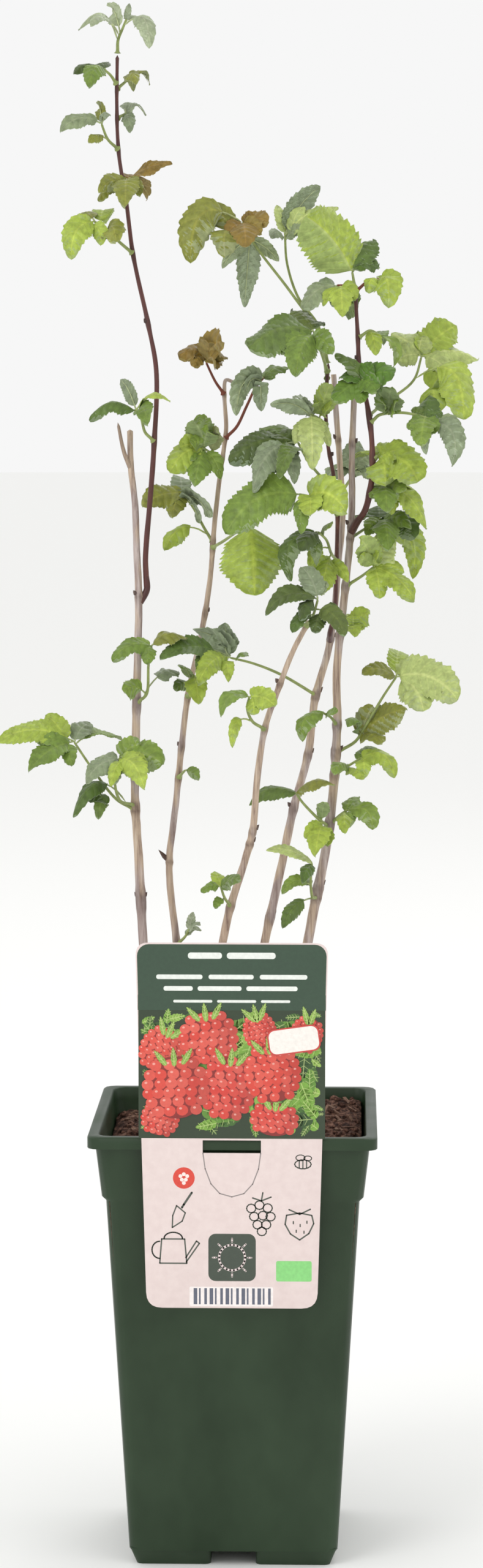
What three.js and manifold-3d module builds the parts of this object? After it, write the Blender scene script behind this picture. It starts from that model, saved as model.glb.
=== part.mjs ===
// Potted raspberry plant: a deep square nursery pot with soil, five canes, three new shoots,
// compound leaves and a hanging tag. Millimetres, +Z up, origin on the floor under the pot's centre.
import * as THREE from 'three';
import Module from 'manifold-3d';

const wasm = await Module();
wasm.setup();

// ---- driving dimensions ----
const GAP = 0.3;                 // clearance kept between pieces that touch
const RIM_TOP = 186;             // top of the pot's lip
const LIP_BOTTOM = 180.8;        // underside of the lip
const LIP_HALF = 60;             // half width over the lip
const COLLAR_HALF = [54.4, 56.8];  // half width of the collar, bottom and top
const COLLAR_BOTTOM = 159.5;
const BODY_TOP = 157.5;
const BODY_HALF = [43.9, 52.7];  // half width of the tapered body, bottom and top
const FLOOR_UNDER = 6.5;         // underside of the pot's floor
const FLOOR_TOP = 8.2;
const WALL = 1.5;
const CORNER = 5;                // corner radius of the square sections
const FOOT_INNER = 9.5;          // each foot runs from here to the pot's corner
const FOOT_HALF = [40.8, 43.6];  // outer reach of the feet, bottom and top
const FOOT_WALL = 1.6;
const DRAIN_RADIUS = 4.5;
const DRAIN_PLACES = [[0, 0], [27, 0], [-27, 0], [0, 27], [0, -27]];
const SOIL_EDGE = 174;           // soil level along the walls
const SOIL_RISE = 4;             // how far the heap stands above its edge
const SOIL_TILT = 0.035;         // the heap is higher on the +X side
const CARD_BACK = -60.4;         // back face of the tag, in front of the lip
const CARD_THICK = 0.6;
const CARD_BOTTOM = 115;
const CARD_TOP = 267.5;
const CARD_HALF = [35.3, 39.6];  // half width of the tag, bottom and top
const CARD_CORNER = [6.5, 5.5];  // corner radius, bottom and top
const SLOT_HALF = 12;            // the lip shows through this slot
const SLOT_HEIGHTS = [180.1, 185.4];
const HOOK_HALF = 11.5;          // the tag's hook, folded back over the rim
const HOOK_END = 179.5;
const HOOK_Y = -54.2;
const DEPTH_SPREAD = 1.8;        // stems and leaves reach this many times their listed y
const STEM_SIDES = 8;
const STALK_SIDES = 4;
const STALK_RADIUS = [0.85, 0.5];  // leaf stalk, at the stem and at its end
const STALK_START = 1.35;        // the stalk's first ring stands this far outside the stem
const BLADE_THICK = 1.1;         // a leaflet along its midrib
const BLADE_STATIONS = [[0.32, 1], [0.7, 0.7], [1, 0.06]];  // place, share of width
const TIDY = 0.04;               // corners closer than this to a flat surface are dropped
const BLADE_FOOT = 0.62;         // half width of a leaflet where it leaves the stalk
const BLADE_CUP = -0.16;         // how far the edges hang, as a share of the half width

// ---- colours ----
const FINISH = {
  pot: { color: 0x2f4630, roughness: 0.45 },
  soil: { color: 0x3a2822, roughness: 0.95 },
  card: { color: 0xe3d3d0, roughness: 0.4 },
  bark: { color: 0xa8917c, roughness: 0.8 },
  shoot: { color: 0x55302a, roughness: 0.6 },
  leaf: { color: 0x6e8f2b, roughness: 0.6 },
};

// Stems: name, finish, radius at the foot and at the end, then the points of the path.
const STEMS = [
  ['cane_a', 'bark', 2.1, 1.2, [[-31, -8, 128], [-33.5, -7, 190], [-38.3, -6, 250], [-41, -5, 298],
    [-42.4, -4, 320], [-42, -4, 345], [-41.2, -4, 380], [-40.7, -3, 405], [-41.6, -2, 425], [-42.4, -1, 445],
    [-44.2, 0, 461], [-44.6, 1, 476]]],
  ['cane_b', 'bark', 1.7, 0.7, [[-15, 14, 128], [-20, 14, 190], [-26, 14, 252], [-29.2, 14, 280],
    [-29.4, 14, 292], [-26.6, 13, 315], [-24, 12, 340], [-21, 11, 363], [-15.5, 10, 388], [-11.5, 9, 412],
    [-9.6, 8, 435], [-7, 8, 458], [-4.6, 8, 476], [-5.3, 8, 491], [-4.6, 8, 496.6], [-1.2, 8, 495.6]]],
  ['cane_c', 'bark', 1.9, 1, [[-16, -18, 128], [-12.5, -18, 190], [-6.4, -18, 252], [-1.8, -19, 277],
    [4, -19, 296], [7.8, -19, 310], [10, -20, 334], [13.4, -20, 355], [19.3, -21, 372], [24.8, -21, 386],
    [31.5, -21, 398.5]]],
  ['cane_d', 'bark', 2, 1.1, [[-7, 14, 128], [0, 14, 190], [11, 14, 252], [18.6, 15, 287], [24, 15, 313],
    [30.3, 16, 337], [33.3, 16, 361], [38.5, 17, 380], [41.2, 17, 396], [43, 17, 418], [44.8, 17, 440],
    [43.4, 18, 463], [42, 18, 482], [40.8, 18, 499]]],
  ['cane_e', 'bark', 2.3, 1.2, [[9, -8, 128], [18, -8, 190], [29, -8, 252], [34, -8, 279], [38.6, -8, 303],
    [41.6, -8, 330], [42.8, -8, 355], [42.6, -8, 376], [45.2, -8, 402], [47.6, -8, 426], [48.7, -7, 442],
    [48.7, -6, 465], [49.6, -5, 492]]],
  ['shoot_a', 'shoot', 1.5, 0.8, [[-37.4, -2.2, 409], [-37.9, -2, 422], [-36, -3, 445], [-34, -4, 470],
    [-33, -4, 500], [-36.4, -4, 520], [-42.6, -3, 548], [-45.5, -2, 570], [-48.8, -1, 591],
    [-49.6, 0, 612], [-49.3, 0, 631]]],
  ['shoot_d', 'shoot', 1.3, 0.8, [[39.6, 13.2, 389], [41.6, 10, 399], [42.2, 5, 415], [42.6, -1, 430],
    [42.6, -3, 445], [40.8, -3, 458], [38.4, -3, 471], [37.7, -3, 486], [38.7, -3, 504]]],
  ['shoot_e', 'shoot', 1.7, 0.9, [[50.9, -9, 438], [54.2, -10, 443], [56.9, -10, 456], [57, -10, 470],
    [55, -10, 486], [51.8, -9, 500], [50.9, -8, 515], [49.8, -8, 534]]],
];

// Leaves: name, stem, height on the stem, the stalk's points, then one line for each leaflet:
// place along the stalk (0 to 1), tip, width, lean, arch, bare share of its length.
// Lean 0 faces up, 90 faces the tag's side, and past 90 or below 0 the underside shows there.
// Arch is how far the midrib rises above a straight line, as a share of its length.
const LEAVES = [
  ['leaf_a01', 'shoot_a', 631, [[-49, 0, 637], [-47, 0, 642], [-45.5, 1, 646]], [
    [0.3, [-64.5, -7, 641], 7, 25, 0.45, 0.3], [0.45, [-59, -13, 642], 6, 45, 0.2, 0.3],
    [0.5, [-52.5, 7, 653], 8, -55, 0.1, 0.2], [0.75, [-35.5, -6, 634], 8, 40, 0.45, 0.2],
    [0.8, [-40, 10, 645], 7, 20, 0.2, 0.2], [1, [-44.3, 2, 653.3], 3, 80, 0, 0]]],
  ['leaf_a02', 'shoot_a', 619, [[-52, -2, 622.5], [-55, -4, 625]], [
    [1, [-66.5, -8, 622.5], 8, 35, 0.2, 0], [0.85, [-59.5, -15, 617], 8, 60, 0.2, 0.1],
    [0.8, [-59, 8, 624], 7, 10, 0.2, 0.1]]],
  ['leaf_a03', 'shoot_a', 617, [[-46.5, 2, 620], [-44, 3, 622.5]], [
    [1, [-36.3, 6, 621], 6, 15, 0.35, 0], [0.7, [-41, -7, 619], 6, 40, 0.2, 0],
    [0.8, [-44, 13, 620], 6, 10, 0.2, 0]]],
  ['leaf_a04', 'shoot_a', 592, [[-53, -4, 596], [-55.5, -6, 602.5]], [
    [1, [-72, -10, 599], 8, 45, 0.2, 0.1], [0.95, [-57.5, 3, 613], 5, -65, 0.1, 0.1],
    [0.95, [-52.5, -14, 605], 5, 40, 0.2, 0.1], [0.4, [-60, -9, 594.5], 5, 50, 0.2, 0.3]]],
  ['leaf_a05', 'shoot_a', 605, [[-45.8, 3, 607.5]], [
    [1, [-38, 6, 607.5], 5, 10, 0.4, 0], [0.8, [-43.5, -4, 601], 6, 75, 0.1, 0.1],
    [0.8, [-46, 14, 608], 6, 10, 0.25, 0.1]]],
  ['leaf_a06', 'shoot_a', 577, [[-45, -4, 579.5]], [
    [1, [-25.8, -8, 587.5], 8, 30, 0.05, 0.1], [0.7, [-44.5, -17, 567.5], 10, 65, 0.15, 0.1],
    [0.8, [-38, 9, 574], 9, 25, 0.2, 0.1], [0.3, [-56.5, -8, 571], 6, 50, 0.15, 0.35]]],
  ['leaf_a07', 'shoot_a', 549, [[-48.5, -6, 554], [-54, -8, 559.5], [-58.5, -9, 562]], [
    [1, [-67, -15, 547], 11, 65, 0.25, 0.05], [0.6, [-48.5, -15, 555.5], 9, 70, 0.2, 0.1],
    [0.95, [-68, 2, 560], 8, 25, 0.25, 0.1], [0.8, [-55, 8, 565], 8, 0, 0.15, 0.1]]],
  ['leaf_a08', 'shoot_a', 471, [[-37.6, -6, 475], [-39.5, -8, 482], [-42, -9, 484.5]], [
    [1, [-60, -12, 483], 8, 20, 0.22, 0], [0.85, [-48.5, 1, 499], 6, -75, 0.05, 0.15],
    [0.8, [-35.5, -17, 481], 8, 60, 0.2, 0.1], [0.9, [-26.5, -13, 489.5], 6, 15, 0.25, 0.1]]],
  ['leaf_a09', 'cane_a', 361, [[-37, -7.5, 366], [-36, -10, 379], [-34.5, -11, 387]], [
    [1, [-50.5, -15, 381], 9, 30, 0.2, 0], [1, [-20, -9, 391.5], 8, 30, 0.18, 0.05],
    [0.3, [-46, -12, 369], 8, 65, 0.15, 0.25], [0.12, [-24.5, 1, 377], 8, 40, 0.12, 0.5]]],
  ['leaf_a10', 'cane_a', 316, [[-50, -6, 321], [-59.5, -9, 334], [-68, -10, 347]], [
    [1, [-98.8, -14, 351], 13, 45, 0.1, 0.08], [1, [-85, -20, 339], 10, 60, 0.05, 0.1],
    [0.97, [-61.5, -3, 354], 8, 45, 0.1, 0.1], [0.95, [-49, 4, 344.5], 8, 15, 0.15, 0.15]]],
  ['leaf_a11', 'cane_a', 318, [[-48.3, -10, 321.5], [-50, -13, 331], [-47.5, -14, 341]], [
    [1, [-29.5, -17, 340.5], 13, 55, 0.12, 0], [0.95, [-61.5, -18, 331.5], 10, 40, 0.15, 0.05],
    [0.95, [-36.5, -24, 331], 9, 55, 0.15, 0.05], [0.12, [-67.5, -14, 318.5], 9, 35, 0.4, 0.35]]],
  ['leaf_b01', 'cane_b', 327, [[-22, 8, 331]], [[1, [-16, 4, 328.5], 5, 75, 0.1, 0.1]]],
  ['leaf_b02', 'cane_b', 254, [[-22.4, 11, 258.5], [-20.5, 10, 262]], [
    [1, [-19, 9, 270], 4, 60, 0, 0], [0.9, [-15.5, 6, 266], 4, 40, 0.1, 0],
    [0.6, [-15.5, 12, 261.5], 4, 20, 0.2, 0]]],
  ['leaf_b03', 'cane_b', 362, [[-19.3, 5, 367], [-18.5, 1, 373]], [
    [1, [-15.5, -6, 362.5], 8.5, 72, 0.15, 0.1], [0.6, [-25.5, -2, 368.5], 6, 60, 0.1, 0.15],
    [0.75, [-23, -5, 378.5], 7, 25, 0.1, 0.1]]],
  ['leaf_b04', 'cane_b', 428, [[-14, 10, 434], [-19, 11, 443], [-24, 12, 449]], [
    [1, [-40, 8, 443.5], 11, 45, 0.12, 0], [0.95, [-10.5, 3, 440.5], 10, -50, 0.12, 0.05],
    [1, [-25, 22, 456], 8, 10, 0.1, 0.05], [0.1, [-30.5, 4, 426], 8, 35, 0.3, 0.35]]],
  ['leaf_b05', 'cane_b', 426, [[-5.5, 2, 429], [0.5, -4, 433.3], [6.5, -9, 437]], [
    [1, [8.5, -16, 408.5], 23, 78, 0.12, 0.03]]],
  ['leaf_b06', 'cane_b', 463, [[-10.5, 2, 466], [-13, -2, 468]], [
    [1, [-17.5, -6, 481], 11, 65, 0.1, 0.05], [1, [-27, -8, 461], 12, 65, 0.15, 0.05],
    [0.9, [-16.5, -10, 453.5], 10, 72, 0.15, 0.05], [0.5, [-7.5, -5, 478], 7, 65, 0.05, 0.1]]],
  ['leaf_b07', 'cane_b', 490.5, [[-9, 6, 496], [-13, 4, 504.5]], [
    [1, [-24, 1, 508], 9, 40, 0.3, 0.05], [1, [-5.5, -4, 514.5], 13, 65, 0.1, 0.05],
    [1, [-17, 13, 510], 9, 15, 0.2, 0.1]]],
  ['leaf_b08', 'cane_b', 472, [[0, 6, 477], [4.5, 3, 486], [8.5, 1, 494], [12, 0, 498]], [
    [0.97, [0.5, -7, 484], 9, -65, 0.3, 0.05], [1, [22, 3, 503], 8, 30, 0.12, 0]]],
  ['leaf_c01', 'cane_c', 279, [[-3.6, -24, 284], [-5, -26, 289]], [
    [1, [-13, -28, 288], 5, 45, 0.15, 0.1], [0.95, [3.5, -32, 294], 7, 55, 0.1, 0],
    [0.9, [-8, -20, 294], 6, 30, 0.1, 0.1], [0.4, [-7.5, -26, 281], 4, 50, 0.15, 0.2]]],
  ['leaf_c02', 'cane_c', 353, [[8, -24, 357], [6, -27, 363], [7, -28, 368]], [
    [1, [-4.8, -30, 362], 8, 30, 0.3, 0.05], [1, [17.5, -31, 365], 9, 65, 0.12, 0.05],
    [0.3, [0, -29, 349], 5, 60, 0.4, 0.35]]],
  ['leaf_c03', 'cane_c', 396, [[33, -26.5, 401], [35, -28, 408]], [
    [1, [13.5, -30, 404.5], 10, 30, 0.2, 0.05], [1, [28, -24, 421], 9, 55, 0.1, 0.1],
    [0.5, [24.5, -32, 396.5], 7, 25, 0.2, 0.1], [0.7, [46, -33, 396], 9, 50, 0.15, 0.15]]],
  ['leaf_d01', 'cane_d', 362, [[19, 8, 371.8], [7, 2, 377.5], [-3, -2, 380.5]], [
    [1, [-18, 3, 392], 13, -45, 0.15, 0.05], [1, [-31, -14, 383], 10, 55, 0.12, 0.25],
    [0.98, [-15, -16, 373.5], 9, 70, 0.12, 0.1], [0.9, [4, -8, 383.5], 6, 50, 0.1, 0.1],
    [1, [-5, 0, 395], 9, -50, 0.1, 0.2]]],
  ['leaf_d02', 'shoot_d', 421, [[40, -7, 425], [38, -13, 431], [34.5, -16, 434.5]], [
    [1, [23.5, -18, 417.5], 9, 30, 0.35, 0.05], [0.85, [27.5, -25, 428], 8, 45, 0.15, 0.15],
    [0.9, [40.5, -20, 438], 6, 45, 0.1, 0.1], [0.3, [36.5, -18, 408.5], 9, 78, 0.1, 0.15],
    [0.45, [31, -17, 422.5], 6, 60, 0.15, 0.35]]],
  ['leaf_d03', 'shoot_d', 441, [[37, -14, 446], [31, -17, 449], [26.5, -18, 450]], [
    [1, [-3, -24, 439.5], 19, 52, 0.14, 0.02], [0.7, [46.5, -24, 445.5], 14, 60, 0.16, 0.02],
    [0.95, [28, -24, 436], 7, 65, 0.1, 0.15]]],
  ['leaf_d04', 'shoot_d', 453, [[36, -7, 456.5], [30, -9, 464], [26, -10, 471.5]], [
    [1, [-2, -14, 464.5], 16, 38, 0.14, 0.03], [0.97, [8, -21, 452.5], 11, 55, 0.2, 0.2],
    [0.85, [19, -26, 458], 8, 50, 0.15, 0.1], [1, [10, 2, 479], 10, 20, 0.1, 0.1]]],
  ['leaf_d05', 'shoot_d', 478, [[34.5, -8, 481], [31.5, -11, 482.5]], [
    [1, [15, -14, 489], 8, -30, 0.1, 0.05], [1, [32.5, -18, 463], 10, 75, 0.1, 0.05],
    [0.9, [26.5, -2, 491.5], 9, -45, 0.1, 0.05], [0.4, [39.5, -14, 496], 9, 60, 0.05, 0.1]]],
  ['leaf_d06', 'shoot_d', 500, [[35.5, -11, 509], [32.5, -15, 517]], [
    [1, [6.5, -21, 511], 21, 48, 0.14, 0.02], [0.9, [25.5, -27, 501], 12, 65, 0.15, 0.05],
    [1, [24, -5, 526], 10, 10, 0.1, 0.05]]],
  ['leaf_d07', 'shoot_d', 503, [[36, -3, 514], [23, -5, 533], [8.5, -7, 552], [3, -8, 562]], [
    [1, [-18, -14, 548], 14, 60, 0.45, 0.22], [1, [14, -12, 563], 9, 55, 0.08, 0],
    [0.98, [5, -18, 551.5], 11, 65, 0.12, 0], [0.84, [3.8, -3, 530], 9, -80, 0.06, 0]]],
  ['leaf_d08', 'shoot_d', 497, [[37, 3, 505], [34.5, 4, 519], [26, 4, 531], [21.3, 4, 545],
    [20.3, 4, 558]], [
    [1, [34.8, 9, 578.2], 10, -55, 0.08, 0.1], [1, [42.8, 0, 569.5], 9, 45, 0.12, 0.1],
    [0.96, [14.5, -2, 556], 6, 50, 0.2, 0.1], [0.95, [29, 1, 561.5], 6, 60, 0.1, 0.1],
    [1, [16.5, 10, 570.5], 6, 10, 0.1, 0.1]]],
  ['leaf_d09', 'cane_d', 449, [[48.5, 22, 455], [50, 25, 459]], [
    [1, [52, 29, 471], 11, 50, 0.1, 0], [0.9, [62, 32, 454], 12, 20, 0.2, 0.1],
    [0.9, [38, 33, 456], 11, 20, 0.2, 0.1]]],
  ['leaf_e01', 'cane_e', 280, [[32.6, -13, 281.5], [32, -15, 287.5], [32.5, -15, 297]], [
    [1, [13.5, -18, 302.5], 7, 20, 0.12, 0], [0.95, [29, -22, 291.5], 6, 60, 0.1, 0],
    [0.65, [20, -17, 285], 6, 35, 0.25, 0.1], [0.6, [26, -9, 291.5], 5, 45, 0.1, 0.1],
    [0.25, [20.5, -20, 271], 7, 60, 0.15, 0.25]]],
  ['leaf_e02', 'cane_e', 310, [[34.5, -13, 315], [28.5, -14, 321.5], [25.5, -15, 326]], [
    [1, [6.3, -16, 321.5], 8, 30, 0.2, 0], [1, [42, -21, 332], 8, 30, 0.15, 0],
    [0.1, [34, -21, 302.5], 9, 78, 0.1, 0.15], [0.18, [37.5, -18, 324.5], 6, 70, 0, 0.15]]],
  ['leaf_e03', 'cane_e', 311, [[44.8, -10, 316], [47.5, -11, 318]], [
    [1, [57.8, -13, 310.3], 9, 35, 0.35, 0], [0.7, [46, -19, 312], 7, 55, 0.1, 0],
    [0.9, [51, 0, 319], 7, 10, 0.2, 0]]],
  ['leaf_e04', 'cane_e', 332, [[46.5, -10, 335.5], [53, -12, 340]], [
    [1, [66.8, -15, 333.3], 9, 35, 0.35, 0], [0.6, [41.5, -20, 337], 7, 45, 0.1, 0.1],
    [0.9, [60, -4, 345], 7, 20, 0.1, 0], [0.3, [54, -20, 333], 6, 30, 0.1, 0.2]]],
  ['leaf_e05', 'cane_e', 341, [[50.5, -7, 346], [55.5, -8, 354], [62, -8, 365], [68, -8, 374]], [
    [1, [93, -10, 367.5], 17, 55, 0.14, 0.05], [1, [53, -12, 377], 8, 35, 0.12, 0.05],
    [1, [69, 8, 383], 8, 10, 0.1, 0.1], [0.34, [71.5, -13, 362], 12, 55, 0.06, 0],
    [0.32, [47, -16, 355], 7, 30, 0.3, 0.05]]],
  ['leaf_e06', 'cane_e', 353, [[40, -12, 357], [37, -14, 359]], [
    [1, [28.5, -17, 348], 8, 40, 0.35, 0], [0.8, [43, -18, 362], 5, 50, 0, 0]]],
  ['leaf_e07', 'cane_e', 391, [[49, -10, 394.5]], [
    [1, [56, -12, 401.5], 9, 62, 0.1, 0], [0.9, [50, -17, 391.5], 7, 60, 0.15, 0],
    [0.8, [54, 2, 396], 8, 10, 0.2, 0.1]]],
  ['leaf_e08', 'cane_e', 411, [[53, -9, 415.5], [58, -10, 419.5]], [
    [1, [74.8, -13, 406], 11, 52, 0.12, 0], [1, [52, -17, 433], 10, 72, 0.08, 0.05],
    [1, [66.5, -6, 433], 11, 70, 0.08, 0.05]]],
  ['leaf_e09', 'cane_e', 431, [[55, -2, 435], [62, -2, 438.5]], [
    [1, [75, -8, 433.5], 12, 50, 0.18, 0], [0.95, [64, -16, 428.5], 11, 60, 0.15, 0],
    [1, [74.5, 3, 415.5], 9, 72, 0.3, 0.3], [0.9, [60, 13, 444], 10, 0, 0.1, 0.1]]],
  ['leaf_e10', 'shoot_e', 450, [[61, -8, 452.5], [65, -8, 453.5]], [
    [1, [79.5, -10, 438.5], 10, 40, 0.1, 0], [0.7, [63, -18, 444.5], 10, 62, 0.12, 0],
    [0.9, [70, 6, 451], 10, 15, 0.15, 0]]],
  ['leaf_e11', 'shoot_e', 464, [[60, -10, 465.5]], [
    [1, [76, -14, 456], 17, 60, 0.18, 0], [0.8, [64, 6, 470], 10, 15, 0.1, 0.1]]],
  ['leaf_e12', 'shoot_e', 479, [[60, -11, 482.3], [70, -12, 483.2], [78, -12, 481.5], [84, -12, 479.5]], [
    [1, [90, -15, 463.3], 9, 55, 0.3, 0], [0.78, [77, -19, 471.3], 10, 75, 0.1, 0],
    [0.78, [81, -8, 491], 9, 60, 0.08, 0], [0.35, [64.5, -17, 495.5], 11, 65, 0.05, 0]]],
  ['leaf_e13', 'shoot_e', 482, [[62, -1, 487], [74.5, 4, 496.5], [78, 6, 507]], [
    [1, [101.8, 8, 508.5], 13, 40, 0.08, 0.05], [1, [93, 13, 520.5], 14, 55, 0.06, 0.05],
    [1, [65, 8, 517], 13, 58, 0.08, 0.05], [0.68, [95.5, -4, 484], 16, 60, 0.42, 0.3]]],
  ['leaf_e14', 'shoot_e', 495, [[52.3, -15, 496.5]], [
    [1, [41, -19, 489], 10, 55, 0.05, 0], [1, [66, -20, 501.5], 13, 58, 0.06, 0],
    [0.9, [41.5, -15, 509], 7, 50, 0.1, 0.1]]],
  ['leaf_e15', 'shoot_e', 514, [[56, -8, 517], [61, -9, 514.5]], [
    [1, [65.8, -10, 503], 5, 25, 0.35, 0], [0.5, [58.5, -14, 508.5], 7, 72, 0.1, 0],
    [0.9, [62, 3, 515], 6, 10, 0.1, 0]]],
  ['leaf_e16', 'shoot_e', 533, [[46, -9, 535.3], [42, -9, 535.6]], [
    [1, [28.5, -13, 527.5], 12, 40, 0.15, 0], [0.8, [44.5, -18, 523.5], 9, 65, 0.15, 0],
    [0.3, [47, 2, 524], 9, 50, 0.15, 0.2]]],
  ['leaf_e17', 'shoot_e', 533, [[55, -8, 537.2], [60, -8, 538.3]], [
    [1, [63.5, -14, 528.3], 11, 55, 0.4, 0], [0.95, [69.5, -5, 538.5], 8, 30, 0.15, 0]]],
  ['leaf_e18', 'shoot_e', 534, [[48.5, -8, 541.5]], [
    [1, [29.5, -16, 564], 22, 60, 0.08, 0.02], [1, [57, 0, 557.5], 13, 50, 0.1, 0.05],
    [0.9, [60, 3, 545], 8, 10, 0.15, 0.1]]],
];

// ---- mesh helpers ----

// Closed body through a list of rings with the same number of points, capped at both ends.
function loft(rings) {
  const count = rings[0].length;
  const positions = rings.flat().flatMap((point) => point.toArray());
  const faces = [];
  for (let ring = 0; ring < rings.length - 1; ring++) {
    for (let i = 0; i < count; i++) {
      const [a, b] = [ring * count + i, ring * count + (i + 1) % count];
      faces.push(a, b, b + count, a, b + count, a + count);
    }
  }
  const last = (rings.length - 1) * count;
  for (let i = 1; i < count - 1; i++) {
    faces.push(0, i + 1, i, last, last + i, last + i + 1);
  }
  const mesh = new wasm.Mesh({
    numProp: 3, vertProperties: new Float32Array(positions), triVerts: new Uint32Array(faces),
  });
  mesh.merge();
  return new wasm.Manifold(mesh);
}

function toGeometry(solid) {
  const mesh = solid.getMesh();
  const geometry = new THREE.BufferGeometry();
  geometry.setAttribute('position', new THREE.BufferAttribute(mesh.vertProperties, 3));
  geometry.setIndex(new THREE.BufferAttribute(mesh.triVerts, 1));
  return geometry;
}

function fromGeometry(geometry) {
  const position = geometry.getAttribute('position');
  const corners = geometry.getIndex()?.array ?? Uint32Array.from({ length: position.count }, (_, i) => i);
  const mesh = new wasm.Mesh({
    numProp: 3, vertProperties: new Float32Array(position.array), triVerts: new Uint32Array(corners),
  });
  mesh.merge();
  return new wasm.Manifold(mesh);
}

function extrude(shape, depth) {
  return fromGeometry(new THREE.ExtrudeGeometry(shape, { depth, bevelEnabled: false, curveSegments: 5 }));
}

function node(name, finish, solid) {
  const material = new THREE.MeshStandardMaterial({ ...FINISH[finish], metalness: 0 });
  const mesh = new THREE.Mesh(toGeometry(solid), material);
  mesh.name = name;
  return mesh;
}

const plantPoint = ([x, y, z]) => new THREE.Vector3(x, y * DEPTH_SPREAD, z);
const mix = (a, b, t) => a + (b - a) * t;

// ---- pot and soil ----

// Square ring with round corners at one height, seen from above turning left.
function squareRing(half, z, radius = CORNER, centre = [0, 0]) {
  const ring = [];
  for (let quarter = 0; quarter < 4; quarter++) {
    const [sx, sy] = [[1, 1], [-1, 1], [-1, -1], [1, -1]][quarter];
    for (let step = 0; step <= 3; step++) {
      const angle = (quarter + step / 3) * Math.PI / 2;
      ring.push(new THREE.Vector3(
        centre[0] + sx * (half - radius) + radius * Math.cos(angle),
        centre[1] + sy * (half - radius) + radius * Math.sin(angle), z));
    }
  }
  return ring;
}

// Half width of the inside of the wall at a height.
function insideHalf(z) {
  if (z <= BODY_TOP) {
    return mix(BODY_HALF[0], BODY_HALF[1], (z - FLOOR_UNDER) / (BODY_TOP - FLOOR_UNDER)) - WALL;
  }
  const t = Math.min(1, (z - COLLAR_BOTTOM) / (LIP_BOTTOM - COLLAR_BOTTOM));
  return mix(COLLAR_HALF[0], COLLAR_HALF[1], Math.max(0, t)) - WALL;
}

function footBlocks(inner, reach, heights) {
  const blocks = [[1, 1], [-1, 1], [-1, -1], [1, -1]].map(([sx, sy]) => {
    const rings = [0, 1].map((end) => {
      const half = (reach[end] - inner) / 2;
      const middle = (reach[end] + inner) / 2;
      return squareRing(half, heights[end], 2.5, [sx * middle, sy * middle]);
    });
    return loft(rings);
  });
  return wasm.Manifold.union(blocks);
}

function makePot() {
  const profile = [
    [BODY_HALF[0], FLOOR_UNDER], [BODY_HALF[1], BODY_TOP], [COLLAR_HALF[0], COLLAR_BOTTOM],
    [COLLAR_HALF[1], LIP_BOTTOM], [LIP_HALF, LIP_BOTTOM + 0.3], [LIP_HALF, RIM_TOP - 0.6],
    [LIP_HALF - 0.6, RIM_TOP], [insideHalf(LIP_BOTTOM) + 0.4, RIM_TOP],
    [insideHalf(LIP_BOTTOM), RIM_TOP - 0.5], [insideHalf(LIP_BOTTOM), LIP_BOTTOM],
    [insideHalf(COLLAR_BOTTOM + 0.01), COLLAR_BOTTOM],
    [insideHalf(BODY_TOP), BODY_TOP], [insideHalf(FLOOR_TOP), FLOOR_TOP],
  ];
  const shell = loft(profile.map(([half, z]) => squareRing(half, z)));
  const feet = footBlocks(FOOT_INNER, FOOT_HALF, [0, FLOOR_UNDER + 1]);
  const pocketReach = [FOOT_HALF[0] - FOOT_WALL, FOOT_HALF[1] - 2 * FOOT_WALL];
  const pockets = footBlocks(FOOT_INNER + FOOT_WALL, pocketReach, [FOOT_WALL, FLOOR_TOP + 0.5]);
  const drains = DRAIN_PLACES.map(([x, y]) => {
    const hole = new THREE.CylinderGeometry(DRAIN_RADIUS, DRAIN_RADIUS, 2 * FLOOR_TOP, 10);
    hole.rotateX(Math.PI / 2).translate(x, y, FLOOR_TOP);
    hole.deleteAttribute('normal');
    hole.deleteAttribute('uv');
    return fromGeometry(hole);
  });
  return shell.add(feet).subtract(pockets).subtract(wasm.Manifold.union(drains));
}

// Soil level: a low heap, higher on the +X side.
function soilRing(half, rise) {
  return squareRing(half, SOIL_EDGE + rise).map((point) => {
    point.z += point.x * SOIL_TILT;
    return point;
  });
}

function makeSoil(stemSolids) {
  const rings = [
    squareRing(insideHalf(FLOOR_TOP) - GAP, FLOOR_TOP + GAP),
    squareRing(insideHalf(BODY_TOP) - GAP, BODY_TOP),
    squareRing(insideHalf(COLLAR_BOTTOM + 0.01) - GAP, COLLAR_BOTTOM + 0.3),
    soilRing(insideHalf(SOIL_EDGE - 3) - GAP, 0), soilRing(46, 0.55 * SOIL_RISE),
    soilRing(30, 0.9 * SOIL_RISE), soilRing(12, SOIL_RISE),
  ];
  const lumpReach = [FOOT_HALF[0] - FOOT_WALL - GAP, FOOT_HALF[1] - 2 * FOOT_WALL - GAP];
  const lumps = footBlocks(FOOT_INNER + FOOT_WALL + GAP, lumpReach, [FOOT_WALL + GAP, FLOOR_TOP + 0.45]);
  return loft(rings).add(lumps).subtract(wasm.Manifold.union(stemSolids));
}

// ---- tag ----

function cardOutline() {
  const shape = new THREE.Shape();
  const corners = [
    [-CARD_HALF[0], CARD_BOTTOM, CARD_CORNER[0]], [CARD_HALF[0], CARD_BOTTOM, CARD_CORNER[0]],
    [CARD_HALF[1], CARD_TOP, CARD_CORNER[1]], [-CARD_HALF[1], CARD_TOP, CARD_CORNER[1]],
  ];
  corners.forEach(([x, z, radius], i) => {
    const corner = new THREE.Vector2(x, z);
    const [before, after] = [corners[(i + 3) % 4], corners[(i + 1) % 4]].map(([bx, bz]) =>
      new THREE.Vector2(bx, bz).sub(corner).setLength(radius).add(corner));
    if (i === 0) shape.moveTo(before.x, before.y);
    else shape.lineTo(before.x, before.y);
    shape.quadraticCurveTo(corner.x, corner.y, after.x, after.y);
  });
  shape.closePath();
  return shape;
}

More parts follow.
